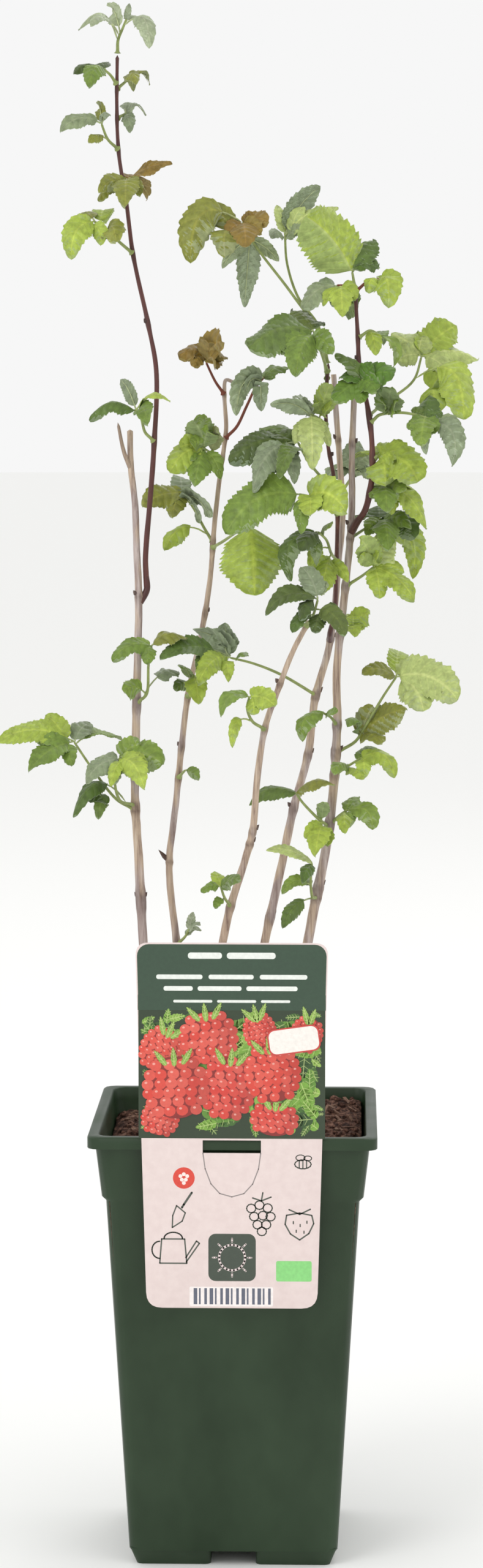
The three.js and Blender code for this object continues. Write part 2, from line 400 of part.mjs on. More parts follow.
function makeCard() {
  const outline = cardOutline();
  const slot = new THREE.Path();
  slot.moveTo(-SLOT_HALF, SLOT_HEIGHTS[0]).lineTo(-SLOT_HALF, SLOT_HEIGHTS[1]);
  slot.lineTo(SLOT_HALF, SLOT_HEIGHTS[1]).lineTo(SLOT_HALF, SLOT_HEIGHTS[0]);
  slot.closePath();
  outline.holes.push(slot);
  // the outline lies in XZ, and its thickness runs towards the front
  const plate = extrude(outline, CARD_THICK).rotate([90, 0, 0]).translate([0, CARD_BACK, 0]);
  const hook = new THREE.Shape([
    [CARD_BACK - CARD_THICK / 2, RIM_TOP + GAP], [HOOK_Y, RIM_TOP + GAP], [HOOK_Y, HOOK_END],
    [HOOK_Y + CARD_THICK, HOOK_END], [HOOK_Y + CARD_THICK, RIM_TOP + GAP + CARD_THICK],
    [CARD_BACK - CARD_THICK / 2, RIM_TOP + GAP + CARD_THICK],
  ].map(([y, z]) => new THREE.Vector2(y, z)));
  // the hook's outline lies in YZ, and its width runs along X
  const strap = extrude(hook, 2 * HOOK_HALF);
  return plate.add(strap.transform([0, 1, 0, 0, 0, 0, 1, 0, 1, 0, 0, 0, -HOOK_HALF, 0, 0, 1]));
}

// ---- stems ----

const curveThrough = (points) => new THREE.CatmullRomCurve3(points.map(plantPoint));
const stemPaths = new Map(STEMS.map(([name, , , , points]) => [name, curveThrough(points)]));

// Rings of a round tube along a curve; radiusAt gives the radius at a share of its length.
function tube(curve, steps, sides, radiusAt) {
  const rings = [];
  for (let i = 0; i <= steps; i++) {
    const t = i / steps;
    const along = curve.getTangent(t);
    const side = new THREE.Vector3(0, 1, 0).cross(along).normalize();
    const other = along.clone().cross(side);
    const centre = curve.getPoint(t);
    rings.push(Array.from({ length: sides }, (_, k) => {
      const angle = 2 * Math.PI * k / sides;
      return centre.clone().addScaledVector(side, radiusAt(t) * Math.cos(angle))
        .addScaledVector(other, radiusAt(t) * Math.sin(angle));
    }));
  }
  return loft(rings);
}

function makeStem([name, , footRadius, endRadius, points], extra = 0) {
  const radiusAt = (t) => mix(footRadius, endRadius, t) + extra;
  return tube(stemPaths.get(name), points.length - 1, STEM_SIDES, radiusAt);
}

// Short dead prong that forks off the dead tip of the first cane.
function deadFork() {
  const curve = curveThrough([[-44, 0, 459], [-47, -1.5, 467], [-49.4, -2, 479]]);
  return tube(curve, 4, 5, (t) => mix(1.1, 0.6, t));
}

// ---- leaves ----

// Point on a stem's axis at a height, and the stem's radius there.
function stemAt(name, height) {
  const [, , footRadius, endRadius] = STEMS.find((stem) => stem[0] === name);
  const curve = stemPaths.get(name);
  let [low, high] = [0, 1];
  for (let i = 0; i < 24; i++) {
    const middle = (low + high) / 2;
    if (curve.getPoint(middle).z < height) low = middle;
    else high = middle;
  }
  return { point: curve.getPoint(low), radius: mix(footRadius, endRadius, low) };
}

function makeLeaflet(base, tip, width, lean, arch, bare) {
  const chord = tip.clone().sub(base);
  const length = chord.length();
  const ahead = chord.clone().normalize();
  const angle = THREE.MathUtils.degToRad(lean);
  const face = new THREE.Vector3(0, -Math.sin(angle), Math.cos(angle));
  const rise = new THREE.Vector3(0, 0, 1).addScaledVector(ahead, -ahead.z);
  if (rise.length() < 0.35) rise.copy(face).addScaledVector(ahead, -ahead.dot(face));
  rise.normalize();
  const bow = 4 * arch * length;
  const section = (u, halfWidth, thick) => {
    const centre = base.clone().addScaledVector(chord, u).addScaledVector(rise, bow * u * (1 - u));
    const along = chord.clone().addScaledVector(rise, bow * (1 - 2 * u)).normalize();
    const side = along.clone().cross(face).normalize();
    const out = side.clone().cross(along);
    const offset = (across, up) => centre.clone().addScaledVector(side, across).addScaledVector(out, up);
    const droop = BLADE_CUP * halfWidth;
    return [offset(halfWidth, droop), offset(0, -thick / 2), offset(-halfWidth, droop), offset(0, thick / 2)];
  };
  const rings = [section(0, BLADE_FOOT, BLADE_THICK + 0.2)];
  if (bare > 0.12) rings.push(section(bare, BLADE_FOOT, BLADE_THICK));
  for (const [place, share] of BLADE_STATIONS) {
    rings.push(section(bare + (1 - bare) * place, share * width / 2, mix(BLADE_THICK, 0.5, place)));
  }
  return loft(rings);
}

function makeLeaf([, stemName, height, stalkPoints, leaflets]) {
  const { point, radius } = stemAt(stemName, height);
  const first = plantPoint(stalkPoints[0]);
  const away = first.clone().sub(point).setLength(radius + STALK_START);
  const path = new THREE.CatmullRomCurve3([point.clone().add(away), ...stalkPoints.map(plantPoint)]);
  const stalk = tube(path, stalkPoints.length, STALK_SIDES, (t) => mix(STALK_RADIUS[0], STALK_RADIUS[1], t));
  const blades = leaflets.map(([place, tip, width, lean, arch, bare]) =>
    makeLeaflet(path.getPoint(Math.min(place, 0.98)), plantPoint(tip), width, lean, arch, bare));
  return wasm.Manifold.union([stalk, ...blades]).simplify(TIDY);
}

// ---- assembly ----

const plant = new THREE.Group();
plant.add(node('pot', 'pot', makePot()));
plant.add(node('soil', 'soil', makeSoil(STEMS.slice(0, 5).map((stem) => makeStem(stem, GAP)))));
plant.add(node('card', 'card', makeCard()));
for (const stem of STEMS) {
  const solid = stem[0] === 'cane_a' ? makeStem(stem).add(deadFork()) : makeStem(stem);
  plant.add(node(stem[0], stem[1], solid));
}
for (const leaf of LEAVES) {
  plant.add(node(leaf[0], 'leaf', makeLeaf(leaf)));
}

export default plant;
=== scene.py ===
"""A potted raspberry plant: nursery pot, potting soil, printed tag, five canes, three new shoots and their leaves."""
import math
import random

import bmesh
import bpy
from mathutils import Matrix, Vector, noise


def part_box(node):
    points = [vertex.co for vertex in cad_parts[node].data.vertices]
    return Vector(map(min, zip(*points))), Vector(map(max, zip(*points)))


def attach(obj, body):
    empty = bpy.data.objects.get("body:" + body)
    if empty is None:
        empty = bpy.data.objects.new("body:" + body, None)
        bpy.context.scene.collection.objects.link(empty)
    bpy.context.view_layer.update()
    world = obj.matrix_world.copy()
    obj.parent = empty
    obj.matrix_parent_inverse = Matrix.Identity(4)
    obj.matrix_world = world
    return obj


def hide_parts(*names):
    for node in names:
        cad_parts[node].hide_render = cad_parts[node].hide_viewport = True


bl_info = {
    "name": "Potted raspberry plant",
    "version": (1, 0, 0),
    "blender": (4, 5, 0),
    "location": "View3D > Sidebar > Raspberry",
    "description": "Builds a potted raspberry plant around its packed frame",
    "category": "Add Mesh",
}

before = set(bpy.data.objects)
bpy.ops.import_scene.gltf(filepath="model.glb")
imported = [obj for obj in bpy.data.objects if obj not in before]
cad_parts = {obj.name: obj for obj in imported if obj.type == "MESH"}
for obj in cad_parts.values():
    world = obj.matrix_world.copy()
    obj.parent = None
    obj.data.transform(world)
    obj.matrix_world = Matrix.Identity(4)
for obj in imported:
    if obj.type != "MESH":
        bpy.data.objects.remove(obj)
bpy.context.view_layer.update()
POT_LOW, POT_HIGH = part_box("pot")
CARD_LOW, CARD_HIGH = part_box("card")
SOIL_LOW, SOIL_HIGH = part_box("soil")

MM = 0.001
DEPTH_SPREAD = 1.8      # stems and leaves reach this many times their listed y
STALK_START = 1.35      # mm between a stem's surface and the first point of a leaf stalk
STALK_RADIUS = (0.85, 0.5)
LOBED = (8.8, 17.5)     # mm: leaflets between these widths have side lobes
PARENTS = {"shoot_a": ("cane_a", 403), "shoot_d": ("cane_d", 385), "shoot_e": ("cane_e", 433)}

# Stems, in millimetres: name, finish, radius at the foot and at the end, points of the path.
STEMS = [
    ["cane_a", "bark", 2.1, 1.2, [[-31, -8, 128], [-33.5, -7, 190], [-38.3, -6, 250],
        [-41, -5, 298], [-42.4, -4, 320], [-42, -4, 345], [-41.2, -4, 380], [-40.7, -3, 405],
        [-41.6, -2, 425], [-42.4, -1, 445], [-44.2, 0, 461], [-44.6, 1, 476]]],
    ["cane_b", "bark", 1.7, 0.7, [[-15, 14, 128], [-20, 14, 190], [-26, 14, 252], [-29.2, 14, 280],
        [-29.4, 14, 292], [-26.6, 13, 315], [-24, 12, 340], [-21, 11, 363], [-15.5, 10, 388],
        [-11.5, 9, 412], [-9.6, 8, 435], [-7, 8, 458], [-4.6, 8, 476], [-5.3, 8, 491],
        [-4.6, 8, 496.6], [-1.2, 8, 495.6]]],
    ["cane_c", "bark", 1.9, 1, [[-16, -18, 128], [-12.5, -18, 190], [-6.4, -18, 252],
        [-1.8, -19, 277], [4, -19, 296], [7.8, -19, 310], [10, -20, 334], [13.4, -20, 355],
        [19.3, -21, 372], [24.8, -21, 386], [31.5, -21, 398.5]]],
    ["cane_d", "bark", 2, 1.1, [[-7, 14, 128], [0, 14, 190], [11, 14, 252], [18.6, 15, 287],
        [24, 15, 313], [30.3, 16, 337], [33.3, 16, 361], [38.5, 17, 380], [41.2, 17, 396],
        [43, 17, 418], [44.8, 17, 440], [43.4, 18, 463], [42, 18, 482], [40.8, 18, 499]]],
    ["cane_e", "bark", 2.3, 1.2, [[9, -8, 128], [18, -8, 190], [29, -8, 252], [34, -8, 279],
        [38.6, -8, 303], [41.6, -8, 330], [42.8, -8, 355], [42.6, -8, 376], [45.2, -8, 402],
        [47.6, -8, 426], [48.7, -7, 442], [48.7, -6, 465], [49.6, -5, 492]]],
    ["shoot_a", "shoot", 1.5, 0.8, [[-37.4, -2.2, 409], [-37.9, -2, 422], [-36, -3, 445],
        [-34, -4, 470], [-33, -4, 500], [-36.4, -4, 520], [-42.6, -3, 548], [-45.5, -2, 570],
        [-48.8, -1, 591], [-49.6, 0, 612], [-49.3, 0, 631]]],
    ["shoot_d", "shoot", 1.3, 0.8, [[39.6, 13.2, 389], [41.6, 10, 399], [42.2, 5, 415],
        [42.6, -1, 430], [42.6, -3, 445], [40.8, -3, 458], [38.4, -3, 471], [37.7, -3, 486],
        [38.7, -3, 504]]],
    ["shoot_e", "shoot", 1.7, 0.9, [[50.9, -9, 438], [54.2, -10, 443], [56.9, -10, 456],
        [57, -10, 470], [55, -10, 486], [51.8, -9, 500], [50.9, -8, 515], [49.8, -8, 534]]],
]

# Leaves: name, stem, height on the stem, tints in turn, the stalk's points, then for each leaflet:
# place along the stalk (0 to 1), tip, width, lean, arch, bare share of its length.
# Lean 0 faces up, 90 faces the tag's side, and past 90 or below 0 the underside shows there.
LEAVES = [
    ["leaf_a01", "shoot_a", 631, "frost", [[-49, 0, 637], [-47, 0, 642], [-45.5, 1, 646]], [
        [0.3, [-64.5, -7, 641], 7, 25, 0.45, 0.3], [0.45, [-59, -13, 642], 6, 45, 0.2, 0.3],
        [0.5, [-52.5, 7, 653], 8, -55, 0.1, 0.2], [0.75, [-35.5, -6, 634], 8, 40, 0.45, 0.2],
        [0.8, [-40, 10, 645], 7, 20, 0.2, 0.2], [1, [-44.3, 2, 653.3], 3, 80, 0, 0]]],
    ["leaf_a02", "shoot_a", 619, "deep mid", [[-52, -2, 622.5], [-55, -4, 625]], [
        [1, [-66.5, -8, 622.5], 8, 35, 0.2, 0], [0.85, [-59.5, -15, 617], 8, 60, 0.2, 0.1],
        [0.8, [-59, 8, 624], 7, 10, 0.2, 0.1]]],
    ["leaf_a03", "shoot_a", 617, "olive", [[-46.5, 2, 620], [-44, 3, 622.5]], [
        [1, [-36.3, 6, 621], 6, 15, 0.35, 0], [0.7, [-41, -7, 619], 6, 40, 0.2, 0],
        [0.8, [-44, 13, 620], 6, 10, 0.2, 0]]],
    ["leaf_a04", "shoot_a", 592, "grey olive", [[-53, -4, 596], [-55.5, -6, 602.5]], [
        [1, [-72, -10, 599], 8, 45, 0.2, 0.1], [0.95, [-57.5, 3, 613], 5, -65, 0.1, 0.1],
        [0.95, [-52.5, -14, 605], 5, 40, 0.2, 0.1], [0.4, [-60, -9, 594.5], 5, 50, 0.2, 0.3]]],
    ["leaf_a05", "shoot_a", 605, "frost grey", [[-45.8, 3, 607.5]], [
        [1, [-38, 6, 607.5], 5, 10, 0.4, 0], [0.8, [-43.5, -4, 601], 6, 75, 0.1, 0.1],
        [0.8, [-46, 14, 608], 6, 10, 0.25, 0.1]]],
    ["leaf_a06", "shoot_a", 577, "bronze olive", [[-45, -4, 579.5]], [
        [1, [-25.8, -8, 587.5], 8, 30, 0.05, 0.1], [0.7, [-44.5, -17, 567.5], 10, 65, 0.15, 0.1],
        [0.8, [-38, 9, 574], 9, 25, 0.2, 0.1], [0.3, [-56.5, -8, 571], 6, 50, 0.15, 0.35]]],
    ["leaf_a07", "shoot_a", 549, "lime olive olive lime", [[-48.5, -6, 554], [-54, -8, 559.5],
        [-58.5, -9, 562]], [
        [1, [-67, -15, 547], 11, 65, 0.25, 0.05], [0.6, [-48.5, -15, 555.5], 9, 70, 0.2, 0.1],
        [0.95, [-68, 2, 560], 8, 25, 0.25, 0.1], [0.8, [-55, 8, 565], 8, 0, 0.15, 0.1]]],
    ["leaf_a08", "shoot_a", 471, "dark grey mid lime", [[-37.6, -6, 475], [-39.5, -8, 482],
        [-42, -9, 484.5]], [
        [1, [-60, -12, 483], 8, 20, 0.22, 0], [0.85, [-48.5, 1, 499], 6, -75, 0.05, 0.15],
        [0.8, [-35.5, -17, 481], 8, 60, 0.2, 0.1], [0.9, [-26.5, -13, 489.5], 6, 15, 0.25, 0.1]]],
    ["leaf_a09", "cane_a", 361, "mid olive mid grey", [[-37, -7.5, 366], [-36, -10, 379],
        [-34.5, -11, 387]], [
        [1, [-50.5, -15, 381], 9, 30, 0.2, 0], [1, [-20, -9, 391.5], 8, 30, 0.18, 0.05],
        [0.3, [-46, -12, 369], 8, 65, 0.15, 0.25], [0.12, [-24.5, 1, 377], 8, 40, 0.12, 0.5]]],
    ["leaf_a10", "cane_a", 316, "lime mid grey mid", [[-50, -6, 321], [-59.5, -9, 334],
        [-68, -10, 347]], [
        [1, [-98.8, -14, 351], 13, 45, 0.1, 0.08], [1, [-85, -20, 339], 10, 60, 0.05, 0.1],
        [0.97, [-61.5, -3, 354], 8, 45, 0.1, 0.1], [0.95, [-49, 4, 344.5], 8, 15, 0.15, 0.15]]],
    ["leaf_a11", "cane_a", 318, "mid grey lime dark", [[-48.3, -10, 321.5], [-50, -13, 331],
        [-47.5, -14, 341]], [
        [1, [-29.5, -17, 340.5], 13, 55, 0.12, 0], [0.95, [-61.5, -18, 331.5], 10, 40, 0.15, 0.05],
        [0.95, [-36.5, -24, 331], 9, 55, 0.15, 0.05], [0.12, [-67.5, -14, 318.5], 9, 35, 0.4, 0.35]]],
    ["leaf_b01", "cane_b", 327, "mid", [[-22, 8, 331]], [
        [1, [-16, 4, 328.5], 5, 75, 0.1, 0.1]]],
    ["leaf_b02", "cane_b", 254, "frost", [[-22.4, 11, 258.5], [-20.5, 10, 262]], [
        [1, [-19, 9, 270], 4, 60, 0, 0], [0.9, [-15.5, 6, 266], 4, 40, 0.1, 0],
        [0.6, [-15.5, 12, 261.5], 4, 20, 0.2, 0]]],
    ["leaf_b03", "cane_b", 362, "lime dark mid", [[-19.3, 5, 367], [-18.5, 1, 373]], [
        [1, [-15.5, -6, 362.5], 8.5, 72, 0.15, 0.1], [0.6, [-25.5, -2, 368.5], 6, 60, 0.1, 0.15],
        [0.75, [-23, -5, 378.5], 7, 25, 0.1, 0.1]]],
    ["leaf_b04", "cane_b", 428, "olive grey grey lime", [[-14, 10, 434], [-19, 11, 443],
        [-24, 12, 449]], [
        [1, [-40, 8, 443.5], 11, 45, 0.12, 0], [0.95, [-10.5, 3, 440.5], 10, -50, 0.12, 0.05],
        [1, [-25, 22, 456], 8, 10, 0.1, 0.05], [0.1, [-30.5, 4, 426], 8, 35, 0.3, 0.35]]],
    ["leaf_b05", "cane_b", 426, "lime", [[-5.5, 2, 429], [0.5, -4, 433.3], [6.5, -9, 437]], [
        [1, [8.5, -16, 408.5], 23, 78, 0.12, 0.03]]],
    ["leaf_b06", "cane_b", 463, "mid lime mid olive", [[-10.5, 2, 466], [-13, -2, 468]], [
        [1, [-17.5, -6, 481], 11, 65, 0.1, 0.05], [1, [-27, -8, 461], 12, 65, 0.15, 0.05],
        [0.9, [-16.5, -10, 453.5], 10, 72, 0.15, 0.05], [0.5, [-7.5, -5, 478], 7, 65, 0.05, 0.1]]],
    ["leaf_b07", "cane_b", 490.5, "bronze", [[-9, 6, 496], [-13, 4, 504.5]], [
        [1, [-24, 1, 508], 9, 40, 0.3, 0.05], [1, [-5.5, -4, 514.5], 13, 65, 0.1, 0.05],
        [1, [-17, 13, 510], 9, 15, 0.2, 0.1]]],
    ["leaf_b08", "cane_b", 472, "grey dark", [[0, 6, 477], [4.5, 3, 486], [8.5, 1, 494],
        [12, 0, 498]], [
        [0.97, [0.5, -7, 484], 9, -65, 0.3, 0.05], [1, [22, 3, 503], 8, 30, 0.12, 0]]],
    ["leaf_c01", "cane_c", 279, "mid dark lime", [[-3.6, -24, 284], [-5, -26, 289]], [
        [1, [-13, -28, 288], 5, 45, 0.15, 0.1], [0.95, [3.5, -32, 294], 7, 55, 0.1, 0],
        [0.9, [-8, -20, 294], 6, 30, 0.1, 0.1], [0.4, [-7.5, -26, 281], 4, 50, 0.15, 0.2]]],
    ["leaf_c02", "cane_c", 353, "mid lime lime", [[8, -24, 357], [6, -27, 363], [7, -28, 368]], [
        [1, [-4.8, -30, 362], 8, 30, 0.3, 0.05], [1, [17.5, -31, 365], 9, 65, 0.12, 0.05],
        [0.3, [0, -29, 349], 5, 60, 0.4, 0.35]]],
    ["leaf_c03", "cane_c", 396, "deep grey dark", [[33, -26.5, 401], [35, -28, 408]], [
        [1, [13.5, -30, 404.5], 10, 30, 0.2, 0.05], [1, [28, -24, 421], 9, 55, 0.1, 0.1],
        [0.5, [24.5, -32, 396.5], 7, 25, 0.2, 0.1], [0.7, [46, -33, 396], 9, 50, 0.15, 0.15]]],
    ["leaf_d01", "cane_d", 362, "grey dark lime mid grey", [[19, 8, 371.8], [7, 2, 377.5],
        [-3, -2, 380.5]], [
        [1, [-18, 3, 392], 13, -45, 0.15, 0.05], [1, [-31, -14, 383], 10, 55, 0.12, 0.25],
        [0.98, [-15, -16, 373.5], 9, 70, 0.12, 0.1], [0.9, [4, -8, 383.5], 6, 50, 0.1, 0.1],
        [1, [-5, 0, 395], 9, -50, 0.1, 0.2]]],
    ["leaf_d02", "shoot_d", 421, "dark deep mid lime lime", [[40, -7, 425], [38, -13, 431],
        [34.5, -16, 434.5]], [
        [1, [23.5, -18, 417.5], 9, 30, 0.35, 0.05], [0.85, [27.5, -25, 428], 8, 45, 0.15, 0.15],
        [0.9, [40.5, -20, 438], 6, 45, 0.1, 0.1], [0.3, [36.5, -18, 408.5], 9, 78, 0.1, 0.15],
        [0.45, [31, -17, 422.5], 6, 60, 0.15, 0.35]]],
    ["leaf_d03", "shoot_d", 441, "mid lime mid", [[37, -14, 446], [31, -17, 449], [26.5, -18, 450]], [
        [1, [-3, -24, 439.5], 19, 52, 0.14, 0.02], [0.7, [46.5, -24, 445.5], 14, 60, 0.16, 0.02],
        [0.95, [28, -24, 436], 7, 65, 0.1, 0.15]]],
    ["leaf_d04", "shoot_d", 453, "deep grey dark dark", [[36, -7, 456.5], [30, -9, 464],
        [26, -10, 471.5]], [
        [1, [-2, -14, 464.5], 16, 38, 0.14, 0.03], [0.97, [8, -21, 452.5], 11, 55, 0.2, 0.2],
        [0.85, [19, -26, 458], 8, 50, 0.15, 0.1], [1, [10, 2, 479], 10, 20, 0.1, 0.1]]],
    ["leaf_d05", "shoot_d", 478, "grey pale frost lime", [[34.5, -8, 481], [31.5, -11, 482.5]], [
        [1, [15, -14, 489], 8, -30, 0.1, 0.05], [1, [32.5, -18, 463], 10, 75, 0.1, 0.05],
        [0.9, [26.5, -2, 491.5], 9, -45, 0.1, 0.05], [0.4, [39.5, -14, 496], 9, 60, 0.05, 0.1]]],
    ["leaf_d06", "shoot_d", 500, "dark mid deep", [[35.5, -11, 509], [32.5, -15, 517]], [
        [1, [6.5, -21, 511], 21, 48, 0.14, 0.02], [0.9, [25.5, -27, 501], 12, 65, 0.15, 0.05],
        [1, [24, -5, 526], 10, 10, 0.1, 0.05]]],
    ["leaf_d07", "shoot_d", 503, "olive bronze bronze grey", [[36, -3, 514], [23, -5, 533],
        [8.5, -7, 552], [3, -8, 562]], [
        [1, [-18, -14, 548], 14, 60, 0.45, 0.22], [1, [14, -12, 563], 9, 55, 0.08, 0],
        [0.98, [5, -18, 551.5], 11, 65, 0.12, 0], [0.84, [3.8, -3, 530], 9, -80, 0.06, 0]]],
    ["leaf_d08", "shoot_d", 497, "grey pale frost grey pale", [[37, 3, 505], [34.5, 4, 519],
        [26, 4, 531], [21.3, 4, 545], [20.3, 4, 558]], [
        [1, [34.8, 9, 578.2], 10, -55, 0.08, 0.1], [1, [42.8, 0, 569.5], 9, 45, 0.12, 0.1],
        [0.96, [14.5, -2, 556], 6, 50, 0.2, 0.1], [0.95, [29, 1, 561.5], 6, 60, 0.1, 0.1],
        [1, [16.5, 10, 570.5], 6, 10, 0.1, 0.1]]],
    ["leaf_d09", "cane_d", 449, "grey", [[48.5, 22, 455], [50, 25, 459]], [
        [1, [52, 29, 471], 11, 50, 0.1, 0], [0.9, [62, 32, 454], 12, 20, 0.2, 0.1],
        [0.9, [38, 33, 456], 11, 20, 0.2, 0.1]]],
    ["leaf_e01", "cane_e", 280, "pale dark mid grey dark", [[32.6, -13, 281.5], [32, -15, 287.5],
        [32.5, -15, 297]], [
        [1, [13.5, -18, 302.5], 7, 20, 0.12, 0], [0.95, [29, -22, 291.5], 6, 60, 0.1, 0],
        [0.65, [20, -17, 285], 6, 35, 0.25, 0.1], [0.6, [26, -9, 291.5], 5, 45, 0.1, 0.1],
        [0.25, [20.5, -20, 271], 7, 60, 0.15, 0.25]]],
    ["leaf_e02", "cane_e", 310, "dark olive lime mid", [[34.5, -13, 315], [28.5, -14, 321.5],
        [25.5, -15, 326]], [
        [1, [6.3, -16, 321.5], 8, 30, 0.2, 0], [1, [42, -21, 332], 8, 30, 0.15, 0],
        [0.1, [34, -21, 302.5], 9, 78, 0.1, 0.15], [0.18, [37.5, -18, 324.5], 6, 70, 0, 0.15]]],
    ["leaf_e03", "cane_e", 311, "mid lime mid", [[44.8, -10, 316], [47.5, -11, 318]], [
        [1, [57.8, -13, 310.3], 9, 35, 0.35, 0], [0.7, [46, -19, 312], 7, 55, 0.1, 0],
        [0.9, [51, 0, 319], 7, 10, 0.2, 0]]],
    ["leaf_e04", "cane_e", 332, "lime mid mid", [[46.5, -10, 335.5], [53, -12, 340]], [
        [1, [66.8, -15, 333.3], 9, 35, 0.35, 0], [0.6, [41.5, -20, 337], 7, 45, 0.1, 0.1],
        [0.9, [60, -4, 345], 7, 20, 0.1, 0], [0.3, [54, -20, 333], 6, 30, 0.1, 0.2]]],
    ["leaf_e05", "cane_e", 341, "pale olive lime olive mid", [[50.5, -7, 346], [55.5, -8, 354],
        [62, -8, 365], [68, -8, 374]], [
        [1, [93, -10, 367.5], 17, 55, 0.14, 0.05], [1, [53, -12, 377], 8, 35, 0.12, 0.05],
        [1, [69, 8, 383], 8, 10, 0.1, 0.1], [0.34, [71.5, -13, 362], 12, 55, 0.06, 0],
        [0.32, [47, -16, 355], 7, 30, 0.3, 0.05]]],
    ["leaf_e06", "cane_e", 353, "mid", [[40, -12, 357], [37, -14, 359]], [
        [1, [28.5, -17, 348], 8, 40, 0.35, 0], [0.8, [43, -18, 362], 5, 50, 0, 0]]],
    ["leaf_e07", "cane_e", 391, "lime", [[49, -10, 394.5]], [
        [1, [56, -12, 401.5], 9, 62, 0.1, 0], [0.9, [50, -17, 391.5], 7, 60, 0.15, 0],
        [0.8, [54, 2, 396], 8, 10, 0.2, 0.1]]],
    ["leaf_e08", "cane_e", 411, "lime lime pale", [[53, -9, 415.5], [58, -10, 419.5]], [
        [1, [74.8, -13, 406], 11, 52, 0.12, 0], [1, [52, -17, 433], 10, 72, 0.08, 0.05],
        [1, [66.5, -6, 433], 11, 70, 0.08, 0.05]]],
    ["leaf_e09", "cane_e", 431, "dark mid lime dark", [[55, -2, 435], [62, -2, 438.5]], [
        [1, [75, -8, 433.5], 12, 50, 0.18, 0], [0.95, [64, -16, 428.5], 11, 60, 0.15, 0],
        [1, [74.5, 3, 415.5], 9, 72, 0.3, 0.3], [0.9, [60, 13, 444], 10, 0, 0.1, 0.1]]],
    ["leaf_e10", "shoot_e", 450, "lime mid lime", [[61, -8, 452.5], [65, -8, 453.5]], [
        [1, [79.5, -10, 438.5], 10, 40, 0.1, 0], [0.7, [63, -18, 444.5], 10, 62, 0.12, 0],
        [0.9, [70, 6, 451], 10, 15, 0.15, 0]]],
    ["leaf_e11", "shoot_e", 464, "lime", [[60, -10, 465.5]], [
        [1, [76, -14, 456], 17, 60, 0.18, 0], [0.8, [64, 6, 470], 10, 15, 0.1, 0.1]]],
    ["leaf_e12", "shoot_e", 479, "grey mid dark mid", [[60, -11, 482.3], [70, -12, 483.2],
        [78, -12, 481.5], [84, -12, 479.5]], [
        [1, [90, -15, 463.3], 9, 55, 0.3, 0], [0.78, [77, -19, 471.3], 10, 75, 0.1, 0],
        [0.78, [81, -8, 491], 9, 60, 0.08, 0], [0.35, [64.5, -17, 495.5], 11, 65, 0.05, 0]]],
    ["leaf_e13", "shoot_e", 482, "pale lime pale lime", [[62, -1, 487], [74.5, 4, 496.5],
        [78, 6, 507]], [
        [1, [101.8, 8, 508.5], 13, 40, 0.08, 0.05], [1, [93, 13, 520.5], 14, 55, 0.06, 0.05],
        [1, [65, 8, 517], 13, 58, 0.08, 0.05], [0.68, [95.5, -4, 484], 16, 60, 0.42, 0.3]]],
    ["leaf_e14", "shoot_e", 495, "gloss gloss dark", [[52.3, -15, 496.5]], [
        [1, [41, -19, 489], 10, 55, 0.05, 0], [1, [66, -20, 501.5], 13, 58, 0.06, 0],
        [0.9, [41.5, -15, 509], 7, 50, 0.1, 0.1]]],
    ["leaf_e15", "shoot_e", 514, "mid lime", [[56, -8, 517], [61, -9, 514.5]], [
        [1, [65.8, -10, 503], 5, 25, 0.35, 0], [0.5, [58.5, -14, 508.5], 7, 72, 0.1, 0],
        [0.9, [62, 3, 515], 6, 10, 0.1, 0]]],
    ["leaf_e16", "shoot_e", 533, "grey lime mid", [[46, -9, 535.3], [42, -9, 535.6]], [
        [1, [28.5, -13, 527.5], 12, 40, 0.15, 0], [0.8, [44.5, -18, 523.5], 9, 65, 0.15, 0],
        [0.3, [47, 2, 524], 9, 50, 0.15, 0.2]]],
    ["leaf_e17", "shoot_e", 533, "lime", [[55, -8, 537.2], [60, -8, 538.3]], [
        [1, [63.5, -14, 528.3], 11, 55, 0.4, 0], [0.95, [69.5, -5, 538.5], 8, 30, 0.15, 0]]],
    ["leaf_e18", "shoot_e", 534, "lime dark mid", [[48.5, -8, 541.5]], [
        [1, [29.5, -16, 564], 22, 60, 0.08, 0.02], [1, [57, 0, 557.5], 13, 50, 0.1, 0.05],
        [0.9, [60, 3, 545], 8, 10, 0.15, 0.1]]],
]

# Buds on the old canes: stem, height in mm, side it points to (degrees, 0 is +X, 90 is +Y), length in mm.
BUDS = [
    ["cane_a", 278.5, 0, 3.5], ["cane_a", 278.5, 180, 3.5], ["cane_a", 361, 0, 3], ["cane_a", 406, 200, 3.5],
    ["cane_a", 330, 100, 3], ["cane_b", 290, 180, 9], ["cane_b", 340, 150, 3], ["cane_b", 398, 0, 3],
    ["cane_c", 305, 10, 4], ["cane_c", 310, 0, 4.5], ["cane_c", 372, 170, 3], ["cane_d", 266, 15, 4],
    ["cane_d", 313, 180, 3.5], ["cane_d", 336, 0, 4], ["cane_d", 362, 10, 5], ["cane_d", 386, 10, 3.5],
    ["cane_d", 471, 190, 3.5], ["cane_e", 284, 0, 4.5], ["cane_e", 341, 0, 4.5], ["cane_e", 436, 180, 3.5],
    ["cane_e", 470, 10, 3.5], ["shoot_a", 520, 190, 3], ["shoot_d", 465, 0, 2.5], ["shoot_e", 505, 180, 2.5],
]

